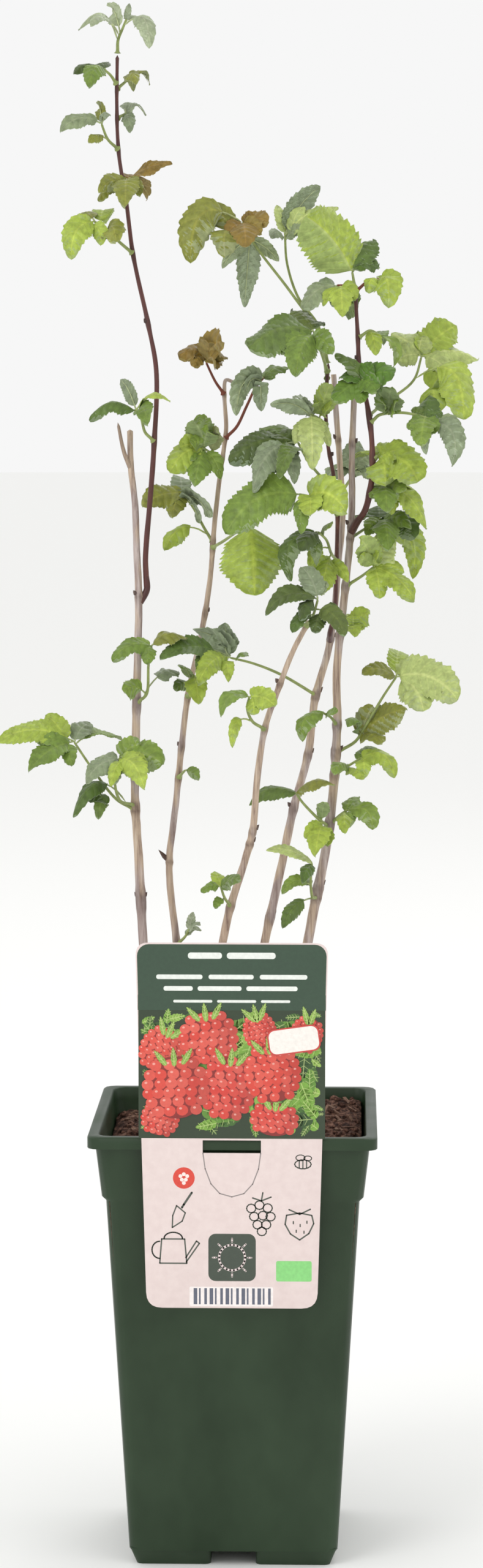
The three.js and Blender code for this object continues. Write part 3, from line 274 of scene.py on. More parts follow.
# Leaf tints: upper side, underside.
TINTS = {
    "frost": ("#9AA686", "#AEB99C"), "grey": ("#84926F", "#9BA98A"), "deep": ("#46591F", "#78896A"),
    "dark": ("#556E2B", "#80916C"), "mid": ("#728C35", "#8B9E6C"), "olive": ("#838833", "#98A070"),
    "lime": ("#A0B544", "#A2B56A"), "pale": ("#B2C174", "#B0BE84"), "bronze": ("#836A24", "#93824C"),
    "gloss": ("#557A22", "#7C9160"),
}
RED_STALKS = ("leaf_b07", "leaf_b08", "leaf_e16", "leaf_e17")


def linear(code):
    """A colour written as sRGB hex, as linear RGBA."""
    parts = [int(code[i:i + 2], 16) / 255 for i in (1, 3, 5)]
    return (*[p / 12.92 if p <= 0.04045 else ((p + 0.055) / 1.055) ** 2.4 for p in parts], 1.0)


def blend(a, b, t):
    return a + (b - a) * t


def blend_colour(a, b, t):
    return tuple(blend(x, y, t) for x, y in zip(a, b))


# ---- sizes and colours a user would change ----

def length_setting(name, text, value):
    return bpy.props.FloatProperty(name=name, description=text, default=value, min=0.0, unit="LENGTH")


def colour_setting(name, text, code):
    return bpy.props.FloatVectorProperty(name=name, description=text, default=linear(code)[:3], size=3,
                                         min=0.0, max=1.0, subtype="COLOR")


class PotSettings(bpy.types.PropertyGroup):
    edge: length_setting("Edge rounding", "Radius of the moulded edges", 0.00035)
    colour: colour_setting("Pot colour", "Colour of the moulded plastic", "#22361F")
    soil: colour_setting("Soil colour", "Main colour of the potting soil", "#54392F")
    soil_chip: colour_setting("Chip colour", "Colour of the bark chips in the soil", "#8E6B5A")


class TagSettings(bpy.types.PropertyGroup):
    ink_step: length_setting("Ink step", "How far each printed layer stands off the one below", 0.00001)
    header: colour_setting("Header colour", "Colour of the tag's top panel", "#2C4632")
    board: colour_setting("Board colour", "Colour of the tag's lower part", "#E6D5D1")
    berry: colour_setting("Berry colour", "Colour of the printed raspberries", "#D8402F")


class PlantSettings(bpy.types.PropertyGroup):
    blade: length_setting("Blade thickness", "Thickness of a leaflet", 0.00035)
    tooth: length_setting("Tooth spacing", "Distance between the teeth along a leaflet's edge", 0.0024)
    pleat: length_setting("Pleat height", "How far the blade swells between its side veins", 0.0008)
    old_bark: colour_setting("Old bark", "Colour of the old canes", "#C2AC96")
    new_bark: colour_setting("New bark", "Colour of the new shoots", "#5A2D28")


# ---- materials ----

def add_node(tree, kind, values=None, **settings):
    """Adds a node. A value that is a socket is linked, and any other becomes the input's default."""
    node = tree.nodes.new(kind)
    for name, value in settings.items():
        setattr(node, name, value)
    for socket, value in (values or {}).items():
        if isinstance(value, bpy.types.NodeSocket):
            tree.links.new(value, node.inputs[socket])
        else:
            node.inputs[socket].default_value = value
    return node


def new_material(name, roughness, specular=0.5, coat=0.0, sheen=0.0):
    """A material with a Principled shader, whose constant finish is set on its own sockets."""
    material = bpy.data.materials.new(name)
    material.use_nodes = True
    shader = material.node_tree.nodes["Principled BSDF"]
    shader.inputs["Roughness"].default_value = roughness
    shader.inputs["Specular IOR Level"].default_value = specular
    shader.inputs["Coat Weight"].default_value = coat
    shader.inputs["Sheen Weight"].default_value = sheen
    return material, material.node_tree, shader


def grain(tree, scale, detail=4.0, roughness=0.6):
    """Noise on Object coordinates, with its scale given per metre along each axis."""
    place = add_node(tree, "ShaderNodeTexCoord")
    turned = add_node(tree, "ShaderNodeMapping", {"Vector": place.outputs["Object"], "Scale": scale})
    return add_node(tree, "ShaderNodeTexNoise", {"Vector": turned.outputs["Vector"], "Scale": 1.0,
                                                 "Detail": detail, "Roughness": roughness})


def ramp(tree, factor, stops):
    """A colour ramp through (place, colour) stops."""
    node = add_node(tree, "ShaderNodeValToRGB", {"Fac": factor})
    elements = node.color_ramp.elements
    while len(elements) < len(stops):
        elements.new(0.5)
    for element, (place, colour) in zip(elements, stops):
        element.position = place
        element.color = colour
    return node


def finish_surface(tree, shader, colour, height, distance, strength=1.0, rough=None):
    """Links a colour, a bump from a height and, if given, a roughness into the shader."""
    bump = add_node(tree, "ShaderNodeBump", {"Height": height, "Distance": distance, "Strength": strength})
    tree.links.new(colour, shader.inputs["Base Color"])
    tree.links.new(bump.outputs["Normal"], shader.inputs["Normal"])
    if rough is not None:
        tree.links.new(rough, shader.inputs["Roughness"])


def moulded_polypropylene(settings):
    # matt thermoformed plastic: a fine orange-peel grain about 1 mm across and soft, uneven gloss
    material, tree, shader = new_material("moulded_polypropylene", 0.4, specular=0.32)
    base = (*settings.colour, 1.0)
    cloud = grain(tree, (28, 28, 18), 3.0)
    colour = ramp(tree, cloud.outputs["Fac"], [(0.3, blend_colour(base, (0, 0, 0, 1), 0.14)),
                                               (0.7, blend_colour(base, linear("#5B6F58"), 0.16))])
    peel = grain(tree, (900, 900, 900), 2.0)
    gloss = add_node(tree, "ShaderNodeMapRange", {"Value": cloud.outputs["Fac"], "From Min": 0.3,
                                                  "From Max": 0.7, "To Min": 0.36, "To Max": 0.5})
    finish_surface(tree, shader, colour.outputs["Color"], peel.outputs["Fac"], 0.00006, 0.6,
                   gloss.outputs["Result"])
    return material


def peat_compost(settings):
    # damp peat and composted bark: near-black crumbs 2 to 4 mm across with brown fibres between them
    material, tree, shader = new_material("peat_compost", 0.93, specular=0.25)
    crumbs = grain(tree, (420, 420, 420), 6.0, 0.7)
    soil = (*settings.soil, 1.0)
    colour = ramp(tree, crumbs.outputs["Fac"], [
        (0.38, blend_colour(soil, (0, 0, 0, 1), 0.75)), (0.5, soil), (0.64, (*settings.soil_chip, 1.0))])
    finish_surface(tree, shader, colour.outputs["Color"], crumbs.outputs["Fac"], 0.0012, 0.9)
    return material


def bark_chip(settings):
    # broken bark: long fibres 0.5 mm wide, paler where it is torn
    material, tree, shader = new_material("bark_chip", 0.85, specular=0.3)
    fibre = grain(tree, (1500, 1500, 300), 4.0)
    chip = (*settings.soil_chip, 1.0)
    colour = ramp(tree, fibre.outputs["Fac"], [(0.3, blend_colour(chip, (0, 0, 0, 1), 0.65)),
                                               (0.75, blend_colour(chip, linear("#A98B70"), 0.35))])
    finish_surface(tree, shader, colour.outputs["Color"], fibre.outputs["Fac"], 0.0004)
    return material


def coated_card(settings):
    # laminated board: smooth, with a thin clear film that gives a soft even shine
    material, tree, shader = new_material("coated_card", 0.4, coat=0.35)
    shader.inputs["Coat Roughness"].default_value = 0.22
    fleck = grain(tree, (260, 260, 260), 3.0)
    board = (*settings.board, 1.0)
    colour = ramp(tree, fleck.outputs["Fac"], [(0.35, blend_colour(board, linear("#D2BDBA"), 0.3)),
                                               (0.65, board)])
    finish_surface(tree, shader, colour.outputs["Color"], fleck.outputs["Fac"], 0.00002, 0.4)
    return material


def offset_ink():
    # printed colour under the same clear film: each spot keeps its own ink, with a faint mottle
    material, tree, shader = new_material("offset_ink", 0.4, coat=0.35)
    shader.inputs["Coat Roughness"].default_value = 0.22
    ink = add_node(tree, "ShaderNodeAttribute", attribute_name="ink")
    mottle = grain(tree, (700, 700, 700), 2.0)
    shade = add_node(tree, "ShaderNodeMapRange", {"Value": mottle.outputs["Fac"], "From Min": 0.3,
                                                  "From Max": 0.7, "To Min": 0.93, "To Max": 1.06})
    colour = add_node(tree, "ShaderNodeVectorMath", {0: ink.outputs["Color"], 1: shade.outputs["Result"]},
                      operation="MULTIPLY")
    finish_surface(tree, shader, colour.outputs["Vector"], mottle.outputs["Fac"], 0.00001, 0.3)
    return material


def weathered_bark(settings):
    # second-year cane bark: papery beige skin split along its length over grey-purple wood, streaks 1 mm wide
    material, tree, shader = new_material("weathered_bark", 0.72, specular=0.35)
    bark = (*settings.old_bark, 1.0)
    streak = grain(tree, (750, 750, 34), 5.0, 0.65)
    patch = grain(tree, (120, 120, 28), 2.0)
    mark = add_node(tree, "ShaderNodeAttribute", attribute_name="mark")
    skin = ramp(tree, streak.outputs["Fac"], [
        (0.3, linear("#7C6459")), (0.44, blend_colour(bark, linear("#8E7A70"), 0.45)),
        (0.56, bark), (0.72, blend_colour(bark, linear("#D8C9B8"), 0.7))])
    worn = ramp(tree, streak.outputs["Fac"], [(0.35, linear("#8A7670")), (0.65, linear("#C6B8B2"))])
    split = ramp(tree, patch.outputs["Fac"], [(0.46, (0, 0, 0, 1)), (0.56, (1, 1, 1, 1))])
    both = add_node(tree, "ShaderNodeMix", {0: split.outputs["Color"], 6: skin.outputs["Color"],
                                            7: worn.outputs["Color"]}, data_type="RGBA")
    dark = add_node(tree, "ShaderNodeMix", {0: mark.outputs["Fac"], 6: both.outputs[2],
                                            7: linear("#3C2722")}, data_type="RGBA")
    finish_surface(tree, shader, dark.outputs[2], streak.outputs["Fac"], 0.0005, 0.9)
    return material


def young_bark(settings):
    # this year's growth: smooth red-brown skin with a slight wax bloom
    material, tree, shader = new_material("young_bark", 0.48, sheen=0.1)
    bark = (*settings.new_bark, 1.0)
    streak = grain(tree, (500, 500, 60), 3.0)
    mark = add_node(tree, "ShaderNodeAttribute", attribute_name="mark")
    skin = ramp(tree, streak.outputs["Fac"], [(0.3, blend_colour(bark, (0, 0, 0, 1), 0.3)), (0.55, bark),
                                              (0.75, blend_colour(bark, linear("#9A6A55"), 0.5))])
    dark = add_node(tree, "ShaderNodeMix", {0: mark.outputs["Fac"], 6: skin.outputs["Color"],
                                            7: linear("#35201A")}, data_type="RGBA")
    finish_surface(tree, shader, dark.outputs[2], streak.outputs["Fac"], 0.0003, 0.6)
    return material


def leaf_skin():
    # raspberry leaf: satin upper side with paler veins every few millimetres, and a downy grey-green underside
    material, tree, shader = new_material("leaf_skin", 0.52, specular=0.4, sheen=0.12)
    tint = add_node(tree, "ShaderNodeAttribute", attribute_name="tint")
    blade = add_node(tree, "ShaderNodeAttribute", attribute_name="blade")
    parts = add_node(tree, "ShaderNodeSeparateXYZ", {0: blade.outputs["Vector"]})
    turn = add_node(tree, "ShaderNodeMath", {0: parts.outputs["X"]}, operation="FRACT")
    centred = add_node(tree, "ShaderNodeMath", {0: turn.outputs[0], 1: 0.5}, operation="SUBTRACT")
    side_vein = add_node(tree, "ShaderNodeMath", {0: centred.outputs[0]}, operation="ABSOLUTE")
    side_line = add_node(tree, "ShaderNodeMapRange", {"Value": side_vein.outputs[0], "From Min": 0.36,
                                                      "From Max": 0.5, "To Min": 0.0, "To Max": 0.3})
    mid_line = add_node(tree, "ShaderNodeMapRange", {"Value": parts.outputs["Y"], "From Min": 0.03,
                                                     "From Max": 0.1, "To Min": 0.5, "To Max": 0.0})
    lines = add_node(tree, "ShaderNodeMath", {0: side_line.outputs["Result"], 1: mid_line.outputs["Result"]},
                     operation="MAXIMUM")
    mottle = grain(tree, (330, 330, 330), 4.0, 0.65)
    shade = add_node(tree, "ShaderNodeMapRange", {"Value": mottle.outputs["Fac"], "From Min": 0.3,
                                                  "From Max": 0.7, "To Min": 0.68, "To Max": 1.2})
    body = add_node(tree, "ShaderNodeVectorMath", {0: tint.outputs["Color"], 1: shade.outputs["Result"]},
                    operation="MULTIPLY")
    pale = add_node(tree, "ShaderNodeVectorMath", {0: body.outputs["Vector"], 1: (1.55, 1.4, 1.6)},
                    operation="MULTIPLY")
    veined = add_node(tree, "ShaderNodeMix", {0: lines.outputs[0], 6: body.outputs["Vector"],
                                              7: pale.outputs["Vector"]}, data_type="RGBA")
    soft = add_node(tree, "ShaderNodeMapRange", {"Value": parts.outputs["Z"], "From Min": 0.0,
                                                 "From Max": 1.0, "To Min": 0.45, "To Max": 0.85})
    relief = add_node(tree, "ShaderNodeMath", {0: mottle.outputs["Fac"], 1: lines.outputs[0]},
                      operation="SUBTRACT")
    finish_surface(tree, shader, veined.outputs[2], relief.outputs[0], 0.00025, 0.8, soft.outputs["Result"])
    return material


# ---- mesh helpers ----

def finish_piece(name, bm, material, node=None, slot=None, smooth_angle=40.0):
    """Turns a bmesh into a finished object that rides on the plant's body and stands for a node."""
    mesh = bpy.data.meshes.new(name)
    bm.to_mesh(mesh)
    bm.free()
    for polygon in mesh.polygons:
        polygon.use_smooth = True
    mesh.set_sharp_from_angle(angle=math.radians(smooth_angle))
    for each in material if isinstance(material, list) else [material]:
        mesh.materials.append(each)
    piece = bpy.data.objects.new(name, mesh)
    bpy.context.collection.objects.link(piece)
    if slot:
        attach(piece, "root")
    if node:
        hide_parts(node)
    return piece


class SmoothPath:
    """A centripetal Catmull-Rom curve through points, with its parameter even between points."""

    def __init__(self, points):
        self.points = [Vector(p) for p in points]

    def at(self, t):
        last = len(self.points) - 1
        place = min(max(t, 0.0), 1.0) * last
        i = min(int(place), last - 1)
        w = place - i
        p1, p2 = self.points[i], self.points[i + 1]
        p0 = self.points[i - 1] if i > 0 else p1 * 2 - p2
        p3 = self.points[i + 2] if i + 2 <= last else p2 * 2 - p1
        d0, d1, d2 = [max((b - a).length, 1e-6) ** 0.5 for a, b in ((p0, p1), (p1, p2), (p2, p3))]
        t1 = ((p1 - p0) / d0 - (p2 - p0) / (d0 + d1) + (p2 - p1) / d1) * d1
        t2 = ((p2 - p1) / d1 - (p3 - p1) / (d1 + d2) + (p3 - p2) / d2) * d1
        return p1 + t1 * w + (p1 * -3 + p2 * 3 - t1 * 2 - t2) * w ** 2 + (p1 * 2 - p2 * 2 + t1 + t2) * w ** 3

    def along(self, t):
        return (self.at(min(t + 1e-3, 1.0)) - self.at(max(t - 1e-3, 0.0))).normalized()

    def at_height(self, height):
        low, high = 0.0, 1.0
        for _ in range(24):
            middle = (low + high) / 2
            low, high = (middle, high) if self.at(middle).z < height else (low, middle)
        return low


def plant_point(point):
    return Vector((point[0], point[1] * DEPTH_SPREAD, point[2])) * MM


def tube(bm, path, steps, sides, radius_at, span=(0.0, 1.0)):
    """A round tube along a path: a grid rolled up, with its seam welded and its ends pinched to tiny open rings.
    Returns its vertices.
    """
    made = bmesh.ops.create_grid(bm, x_segments=steps, y_segments=sides, size=1.0)["verts"]
    spot = {v: ((v.co.x + 1) / 2, (v.co.y + 1) / 2) for v in made}
    for v, (share, turn) in spot.items():
        t = blend(span[0], span[1], share)
        ahead = path.along(t)
        side = Vector((0, 1, 0)).cross(ahead).normalized()
        other = side.cross(ahead)
        angle = 2 * math.pi * turn
        radius = radius_at(t, angle) * (0.02 if share in (0.0, 1.0) else 1.0)
        v.co = path.at(t) + (side * math.cos(angle) + other * math.sin(angle)) * radius
    bmesh.ops.remove_doubles(bm, verts=made, dist=2e-6)
    return [v for v in made if v.is_valid]


def place_copy(bm, verts, centre, ahead, scale):
    """Scales new vertices, points their Z axis ahead and moves them to a centre."""
    turn = ahead.to_track_quat("Z", "Y").to_matrix().to_4x4()
    for v in verts:
        v.co = centre + turn @ Vector((v.co.x * scale[0], v.co.y * scale[1], v.co.z * scale[2]))


def point_out(bm):
    """Points every closed shell of a bmesh outwards."""
    bmesh.ops.recalc_face_normals(bm, faces=bm.faces)


STEM_PATHS = {row[0]: SmoothPath([plant_point(p) for p in row[4]]) for row in STEMS}
STEM_RADII = {row[0]: (row[2] * MM, row[3] * MM) for row in STEMS}
for shoot in PARENTS:
    STEM_RADII[shoot] = tuple(0.82 * radius for radius in STEM_RADII[shoot])


# ---- pot and soil ----

class RASPBERRY_OT_pot(bpy.types.Operator):
    """Build the moulded pot with softened edges"""
    bl_idname = "raspberry.pot"
    bl_label = "Pot"

    def execute(self, context):
        settings = context.scene.raspberry_pot
        bm = bmesh.new()
        bm.from_mesh(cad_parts["pot"].data)
        bmesh.ops.remove_doubles(bm, verts=bm.verts, dist=2e-6)
        bmesh.ops.dissolve_limit(bm, angle_limit=math.radians(1.0), verts=bm.verts, edges=bm.edges)
        sharp = [e for e in bm.edges if e.is_manifold and e.calc_face_angle() > math.radians(50)]
        bmesh.ops.bevel(bm, geom=sharp, offset=settings.edge, offset_type="OFFSET", segments=2, profile=0.5,
                        affect="EDGES", material=-1, clamp_overlap=True)
        bmesh.ops.triangulate(bm, faces=bm.faces)
        finish_piece("pot_shell", bm, moulded_polypropylene(settings), "pot", "pot_plastic", 50.0)
        return {"FINISHED"}


def soil_height(x, y):
    """Height of the soil at a place, in metres: a low heap, higher on the +X side, with lumps."""
    edge = SOIL_HIGH.x
    reach = max(abs(x), abs(y)) / edge
    heap = 176.3 * MM + 2.2 * MM * (1 - reach ** 2) + x * 0.055 + y * 0.045
    spot = Vector((x, y, 0.0))
    lumps = 1.7 * MM * noise.noise(spot * 130) + 0.9 * MM * noise.noise(spot * 420)
    return heap + lumps - 1.5 * MM * max(0.0, reach - 0.93) / 0.07


class RASPBERRY_OT_soil(bpy.types.Operator):
    """Fill the pot with soil, crumbs and bark chips"""
    bl_idname = "raspberry.soil"
    bl_label = "Soil"

    def execute(self, context):
        settings = context.scene.raspberry_pot
        bm = bmesh.new()
        top_half = SOIL_HIGH.x - 0.3 * MM
        bmesh.ops.create_grid(bm, x_segments=110, y_segments=110, size=top_half)
        for v in bm.verts:
            v.co.z = soil_height(v.co.x, v.co.y)
        rim = [e for e in bm.edges if e.is_boundary]
        for half, height in ((SOIL_HIGH.x - 2.6 * MM, 158.5 * MM), (42 * MM, 9 * MM)):
            ratio = half / max(v.co.x for e in rim for v in e.verts)
            made = bmesh.ops.extrude_edge_only(bm, edges=rim)["geom"]
            for v in [g for g in made if isinstance(g, bmesh.types.BMVert)]:
                v.co = Vector((v.co.x * ratio, v.co.y * ratio, height))
            rim = [g for g in made if isinstance(g, bmesh.types.BMEdge) and g.is_boundary]
        bmesh.ops.holes_fill(bm, edges=rim, sides=0)
        point_out(bm)
        finish_piece("soil_bed", bm, peat_compost(settings), "soil", "potting_soil", 80.0)

        rng = random.Random(11)
        crumbs = bmesh.new()
        for _ in range(520):
            x, y = [rng.uniform(-top_half, top_half) * 0.97 for _ in range(2)]
            size = rng.uniform(0.7, 2.2) * MM
            made = bmesh.ops.create_icosphere(crumbs, subdivisions=1, radius=1.0)["verts"]
            lean = Vector((rng.uniform(-1, 1), rng.uniform(-1, 1), 1)).normalized()
            centre = Vector((x, y, soil_height(x, y) + size * 0.25))
            place_copy(crumbs, made, centre, lean, (size, size * rng.uniform(0.6, 1), size * rng.uniform(0.5, 0.9)))
        finish_piece("soil_crumbs", crumbs, peat_compost(settings), None, "potting_soil", 30.0)

        chips = bmesh.new()
        for _ in range(230):
            x, y = [rng.uniform(-top_half, top_half) * 0.93 for _ in range(2)]
            made = bmesh.ops.create_cube(chips, size=1.0)["verts"]
            ahead = Vector((rng.uniform(-1, 1), rng.uniform(-1, 1), rng.uniform(-0.25, 0.35))).normalized()
            size = (rng.uniform(0.7, 2.2) * MM, rng.uniform(0.3, 0.8) * MM, rng.uniform(2.5, 8) * MM)
            place_copy(chips, made, Vector((x, y, soil_height(x, y) + 0.5 * MM)), ahead, size)
        finish_piece("soil_chips", chips, bark_chip(settings), None, "potting_soil", 30.0)
        return {"FINISHED"}


# ---- tag ----

def ink_shape(bm, verts, colour):
    ink = bm.loops.layers.float_color["ink"]
    for face in {f for v in verts for f in v.link_faces}:
        for loop in face.loops:
            loop[ink] = colour


class TagPrint:
    """Flat printed shapes on the tag, in millimetres from its centre line and the floor."""

    def __init__(self, settings):
        self.bm = bmesh.new()
        self.bm.loops.layers.float_color.new("ink")
        self.step = settings.ink_step

    def y(self, layer):
        return CARD_LOW.y - self.step * layer

    def disc(self, x, z, radii, colour, layer, turn=0.0, sides=20):
        made = bmesh.ops.create_cone(self.bm, cap_ends=True, segments=sides, radius1=1.0, radius2=1.0,
                                     depth=self.step / MM)["verts"]
        spin = Matrix.Rotation(math.radians(turn), 3, "Y")
        for v in made:
            flat = spin @ Vector((v.co.x * radii[0], v.co.z, v.co.y * radii[1]))
            v.co = Vector((x + flat.x, 0, z + flat.z)) * MM + Vector((0, self.y(layer) + flat.y * MM, 0))
        ink_shape(self.bm, made, colour)

    def block(self, left, right, low, high, colour, layer, radius=0.0, slant=0.0):
        """A rectangle with rounded corners, whose sides lean in by slant at its foot."""
        made = bmesh.ops.create_cube(self.bm, size=1.0)["verts"]
        for v in made:
            inward = slant * (0.5 - v.co.z) * (1 if v.co.x < 0 else -1)
            v.co = Vector((blend(left, right, v.co.x + 0.5) + inward, 0, blend(low, high, v.co.z + 0.5))) * MM \
                + Vector((0, self.y(layer) + v.co.y * self.step, 0))
        if radius:
            uprights = {e for v in made for e in v.link_edges
                        if abs(e.verts[0].co.x - e.verts[1].co.x) + abs(e.verts[0].co.z - e.verts[1].co.z) < 1e-7}
            beveled = bmesh.ops.bevel(self.bm, geom=list(uprights), offset=radius * MM, offset_type="OFFSET",
                                      segments=6, profile=0.5, affect="EDGES", material=-1)
            made = [v for v in made if v.is_valid] + beveled["verts"]
        ink_shape(self.bm, made, colour)

    def plate(self, x, z, width, height, turn, colour, layer):
        """A tilted rectangle with round corners."""
        spin = Matrix.Rotation(math.radians(-turn), 3, "Y")
        before = set(self.bm.verts)
        self.block(-width / 2, width / 2, -height / 2, height / 2, colour, layer, height * 0.28)
        for v in set(self.bm.verts) - before:
            depth = v.co.y
            v.co = spin @ Vector((v.co.x, 0, v.co.z)) + Vector((x * MM, depth, z * MM))

    def line(self, points, width, colour, layer):
        """A drawn line with round ends through points."""
        for (x0, z0), (x1, z1) in zip(points, points[1:]):
            length = math.hypot(x1 - x0, z1 - z0)
            turn = math.degrees(math.atan2(z1 - z0, x1 - x0))
            made = bmesh.ops.create_cube(self.bm, size=1.0)["verts"]
            spin = Matrix.Rotation(math.radians(-turn), 3, "Y")
            for v in made:
                flat = spin @ Vector((v.co.x * length, 0, v.co.z * width))
                v.co = Vector(((x0 + x1) / 2 + flat.x, 0, (z0 + z1) / 2 + flat.z)) * MM \
                    + Vector((0, self.y(layer) + v.co.y * self.step, 0))
            ink_shape(self.bm, made, colour)
        for x, z in points:
            self.disc(x, z, (width / 2, width / 2), colour, layer, sides=8)

    def arc(self, x, z, radii, start, end, width, colour, layer, steps=14):
        angles = [math.radians(blend(start, end, i / steps)) for i in range(steps + 1)]
        self.line([(x + radii[0] * math.cos(a), z + radii[1] * math.sin(a)) for a in angles], width, colour, layer)

    def berry(self, x, z, width, height, turn, colour, layer, rng):
        """A raspberry: a dark body, rows of round drupelets and a pale light on each."""
        dark = blend_colour(colour, linear("#5A0F12"), 0.75)
        self.disc(x, z, (width / 2, height / 2), dark, layer, turn, 24)
        spin = Matrix.Rotation(math.radians(turn), 3, "Y")
        size = width / 10.5
        top = layer + 0.1
        row_step = size * 1.55
        rows = int(height / row_step)
        for row in range(rows):
            up = (row - (rows - 1) / 2) * row_step
            reach = width / 2 * math.sqrt(max(0.0, 1 - (up / (height / 2 + 0.4)) ** 2)) - size * 0.55
            count = max(1, int(2 * reach / (size * 1.8)) + 1)
            for i in range(count):
                across = 0.0 if count == 1 else blend(-reach, reach, i / (count - 1))
                across += (row % 2 - 0.5) * size * 0.5 * (abs(across) < reach * 0.8)
                spot = spin @ Vector((across, 0, up))
                tone = blend_colour(colour, linear("#F08C7A"), rng.uniform(0.0, 0.3))
                shade = blend_colour(tone, dark, 0.45 * max(0.0, across / max(reach, 0.1)) * rng.uniform(0.6, 1))
                self.disc(x + spot.x, z + spot.z, (size, size * 0.93), shade, top, turn, 12)
                self.disc(x + spot.x - size * 0.28, z + spot.z + size * 0.3, (size * 0.26, size * 0.2),
                          blend_colour(shade, linear("#FFD9CC"), 0.45), top + 0.04, turn, 8)
                top += 0.06

    def leaf(self, x, z, length, width, turn, colour, layer=3):
        """A pointed leaf with a pale midrib and side veins, left out where it would cross the tag's edge."""
        if abs(x) + length * 0.6 > 38.4 or z - length * 0.6 < 186.5:
            return
        spin = Matrix.Rotation(math.radians(turn), 3, "Y")
        for share, size in ((-0.25, 0.8), (-0.08, 1.0), (0.1, 0.92), (0.26, 0.66), (0.4, 0.36)):
            spot = spin @ Vector((length * share, 0, 0))
            self.disc(x + spot.x, z + spot.z, (length * 0.2, width / 2 * size), colour,
                      layer + 0.06 * (share + 0.3), turn, 16)
        pale = blend_colour(colour, linear("#C9D98C"), 0.55)
        ends = [spin @ Vector((length * s, 0, 0)) for s in (-0.45, 0.55)]
        self.line([(x + e.x, z + e.z) for e in ends], 0.35, pale, layer + 0.12)
        for share in (-0.25, -0.05, 0.15, 0.32):
            for side in (-1, 1):
                a = spin @ Vector((length * share, 0, 0))
                b = spin @ Vector((length * (share + 0.12), 0, side * width * 0.34))
                self.line([(x + a.x, z + a.z), (x + b.x, z + b.z)], 0.22, pale, layer + 0.08)


def draw_header(tag, settings):
    green = (*settings.header, 1.0)
    tag.block(-39.0, 39.0, 241.2, 266.9, green, 1, 5.0, 0.6)
    tag.block(-38.6, 38.6, 239.6, 246.0, green, 1.4)
    rows = ((262.2, [(-18, -4), (-2, 18)]), (253.4, [(-31, -12), (-9.5, 9), (11.5, 31)]),
            (248.6, [(-28, -16), (-14, 4), (6, 27)]), (243.3, [(-24, -8), (-6, 10), (12, 24)]))
    for height, bars in rows:
        thick = 2.6 if height > 260 else 1.9 if height > 247 else 1.1
        for left, right in bars:
            tag.block(left, right, height - thick / 2, height + thick / 2, linear("#E9EDE6"), 2, thick / 2.2)


def draw_fruit_picture(tag, settings, rng):
    tag.block(-38.4, 38.4, 186.2, 240.6, linear("#24361C"), 1)
    greens = ("#5E8A2E", "#77A33A", "#3F6624", "#8DB24C", "#2F4F1E")
    for i in range(110):
        x, z = rng.uniform(-36, 36), rng.uniform(188.5, 238)
        room = min(38.0 - abs(x), z - 186.6, 240.4 - z) / 0.62
        length = min(rng.uniform(9, 17), room)
        tag.leaf(x, z, length, length * 0.55, rng.uniform(0, 360), linear(rng.choice(greens)), 1.5 + 0.08 * i)
    berry = (*settings.berry, 1.0)
    berries = ((30.5, 229.5, 13, 15, 20), (11.5, 231, 13, 15, -14), (-29, 223, 17, 19, 24),
                                      (-9.5, 228, 23, 22, -8), (17.5, 194.4, 19, 14, 6), (-29.5, 194.5, 15, 14, 14),
                                      (-1.5, 207.5, 22, 26, 6), (16.8, 213.5, 22, 24, -8),
                                      (-23, 207.5, 26, 26, -4))
    for i, (x, z, width, height, turn) in enumerate(berries):
        layer = 11 + 5 * i
        for angle in (55, 90, 125):
            crown = Matrix.Rotation(math.radians(turn), 3, "Y") @ Vector((
                math.cos(math.radians(angle)) * width * 0.35, 0, height * 0.47))
            tag.leaf(x + crown.x, z + crown.z, 7.5, 2.6, turn - angle, linear("#8DB24C"), layer + 4)
        tag.berry(x, z, width, height, turn, blend_colour(berry, linear("#C2242B"), rng.uniform(0, 0.4)), layer,
                  rng)
    # a bare plate, tilted, where a name would stand
    tag.plate(25.5, 227.4, 21.5, 11.0, 8, linear("#C8423B"), 58)
    tag.plate(25.5, 227.4, 20.3, 9.8, 8, linear("#F3EDE6"), 59)


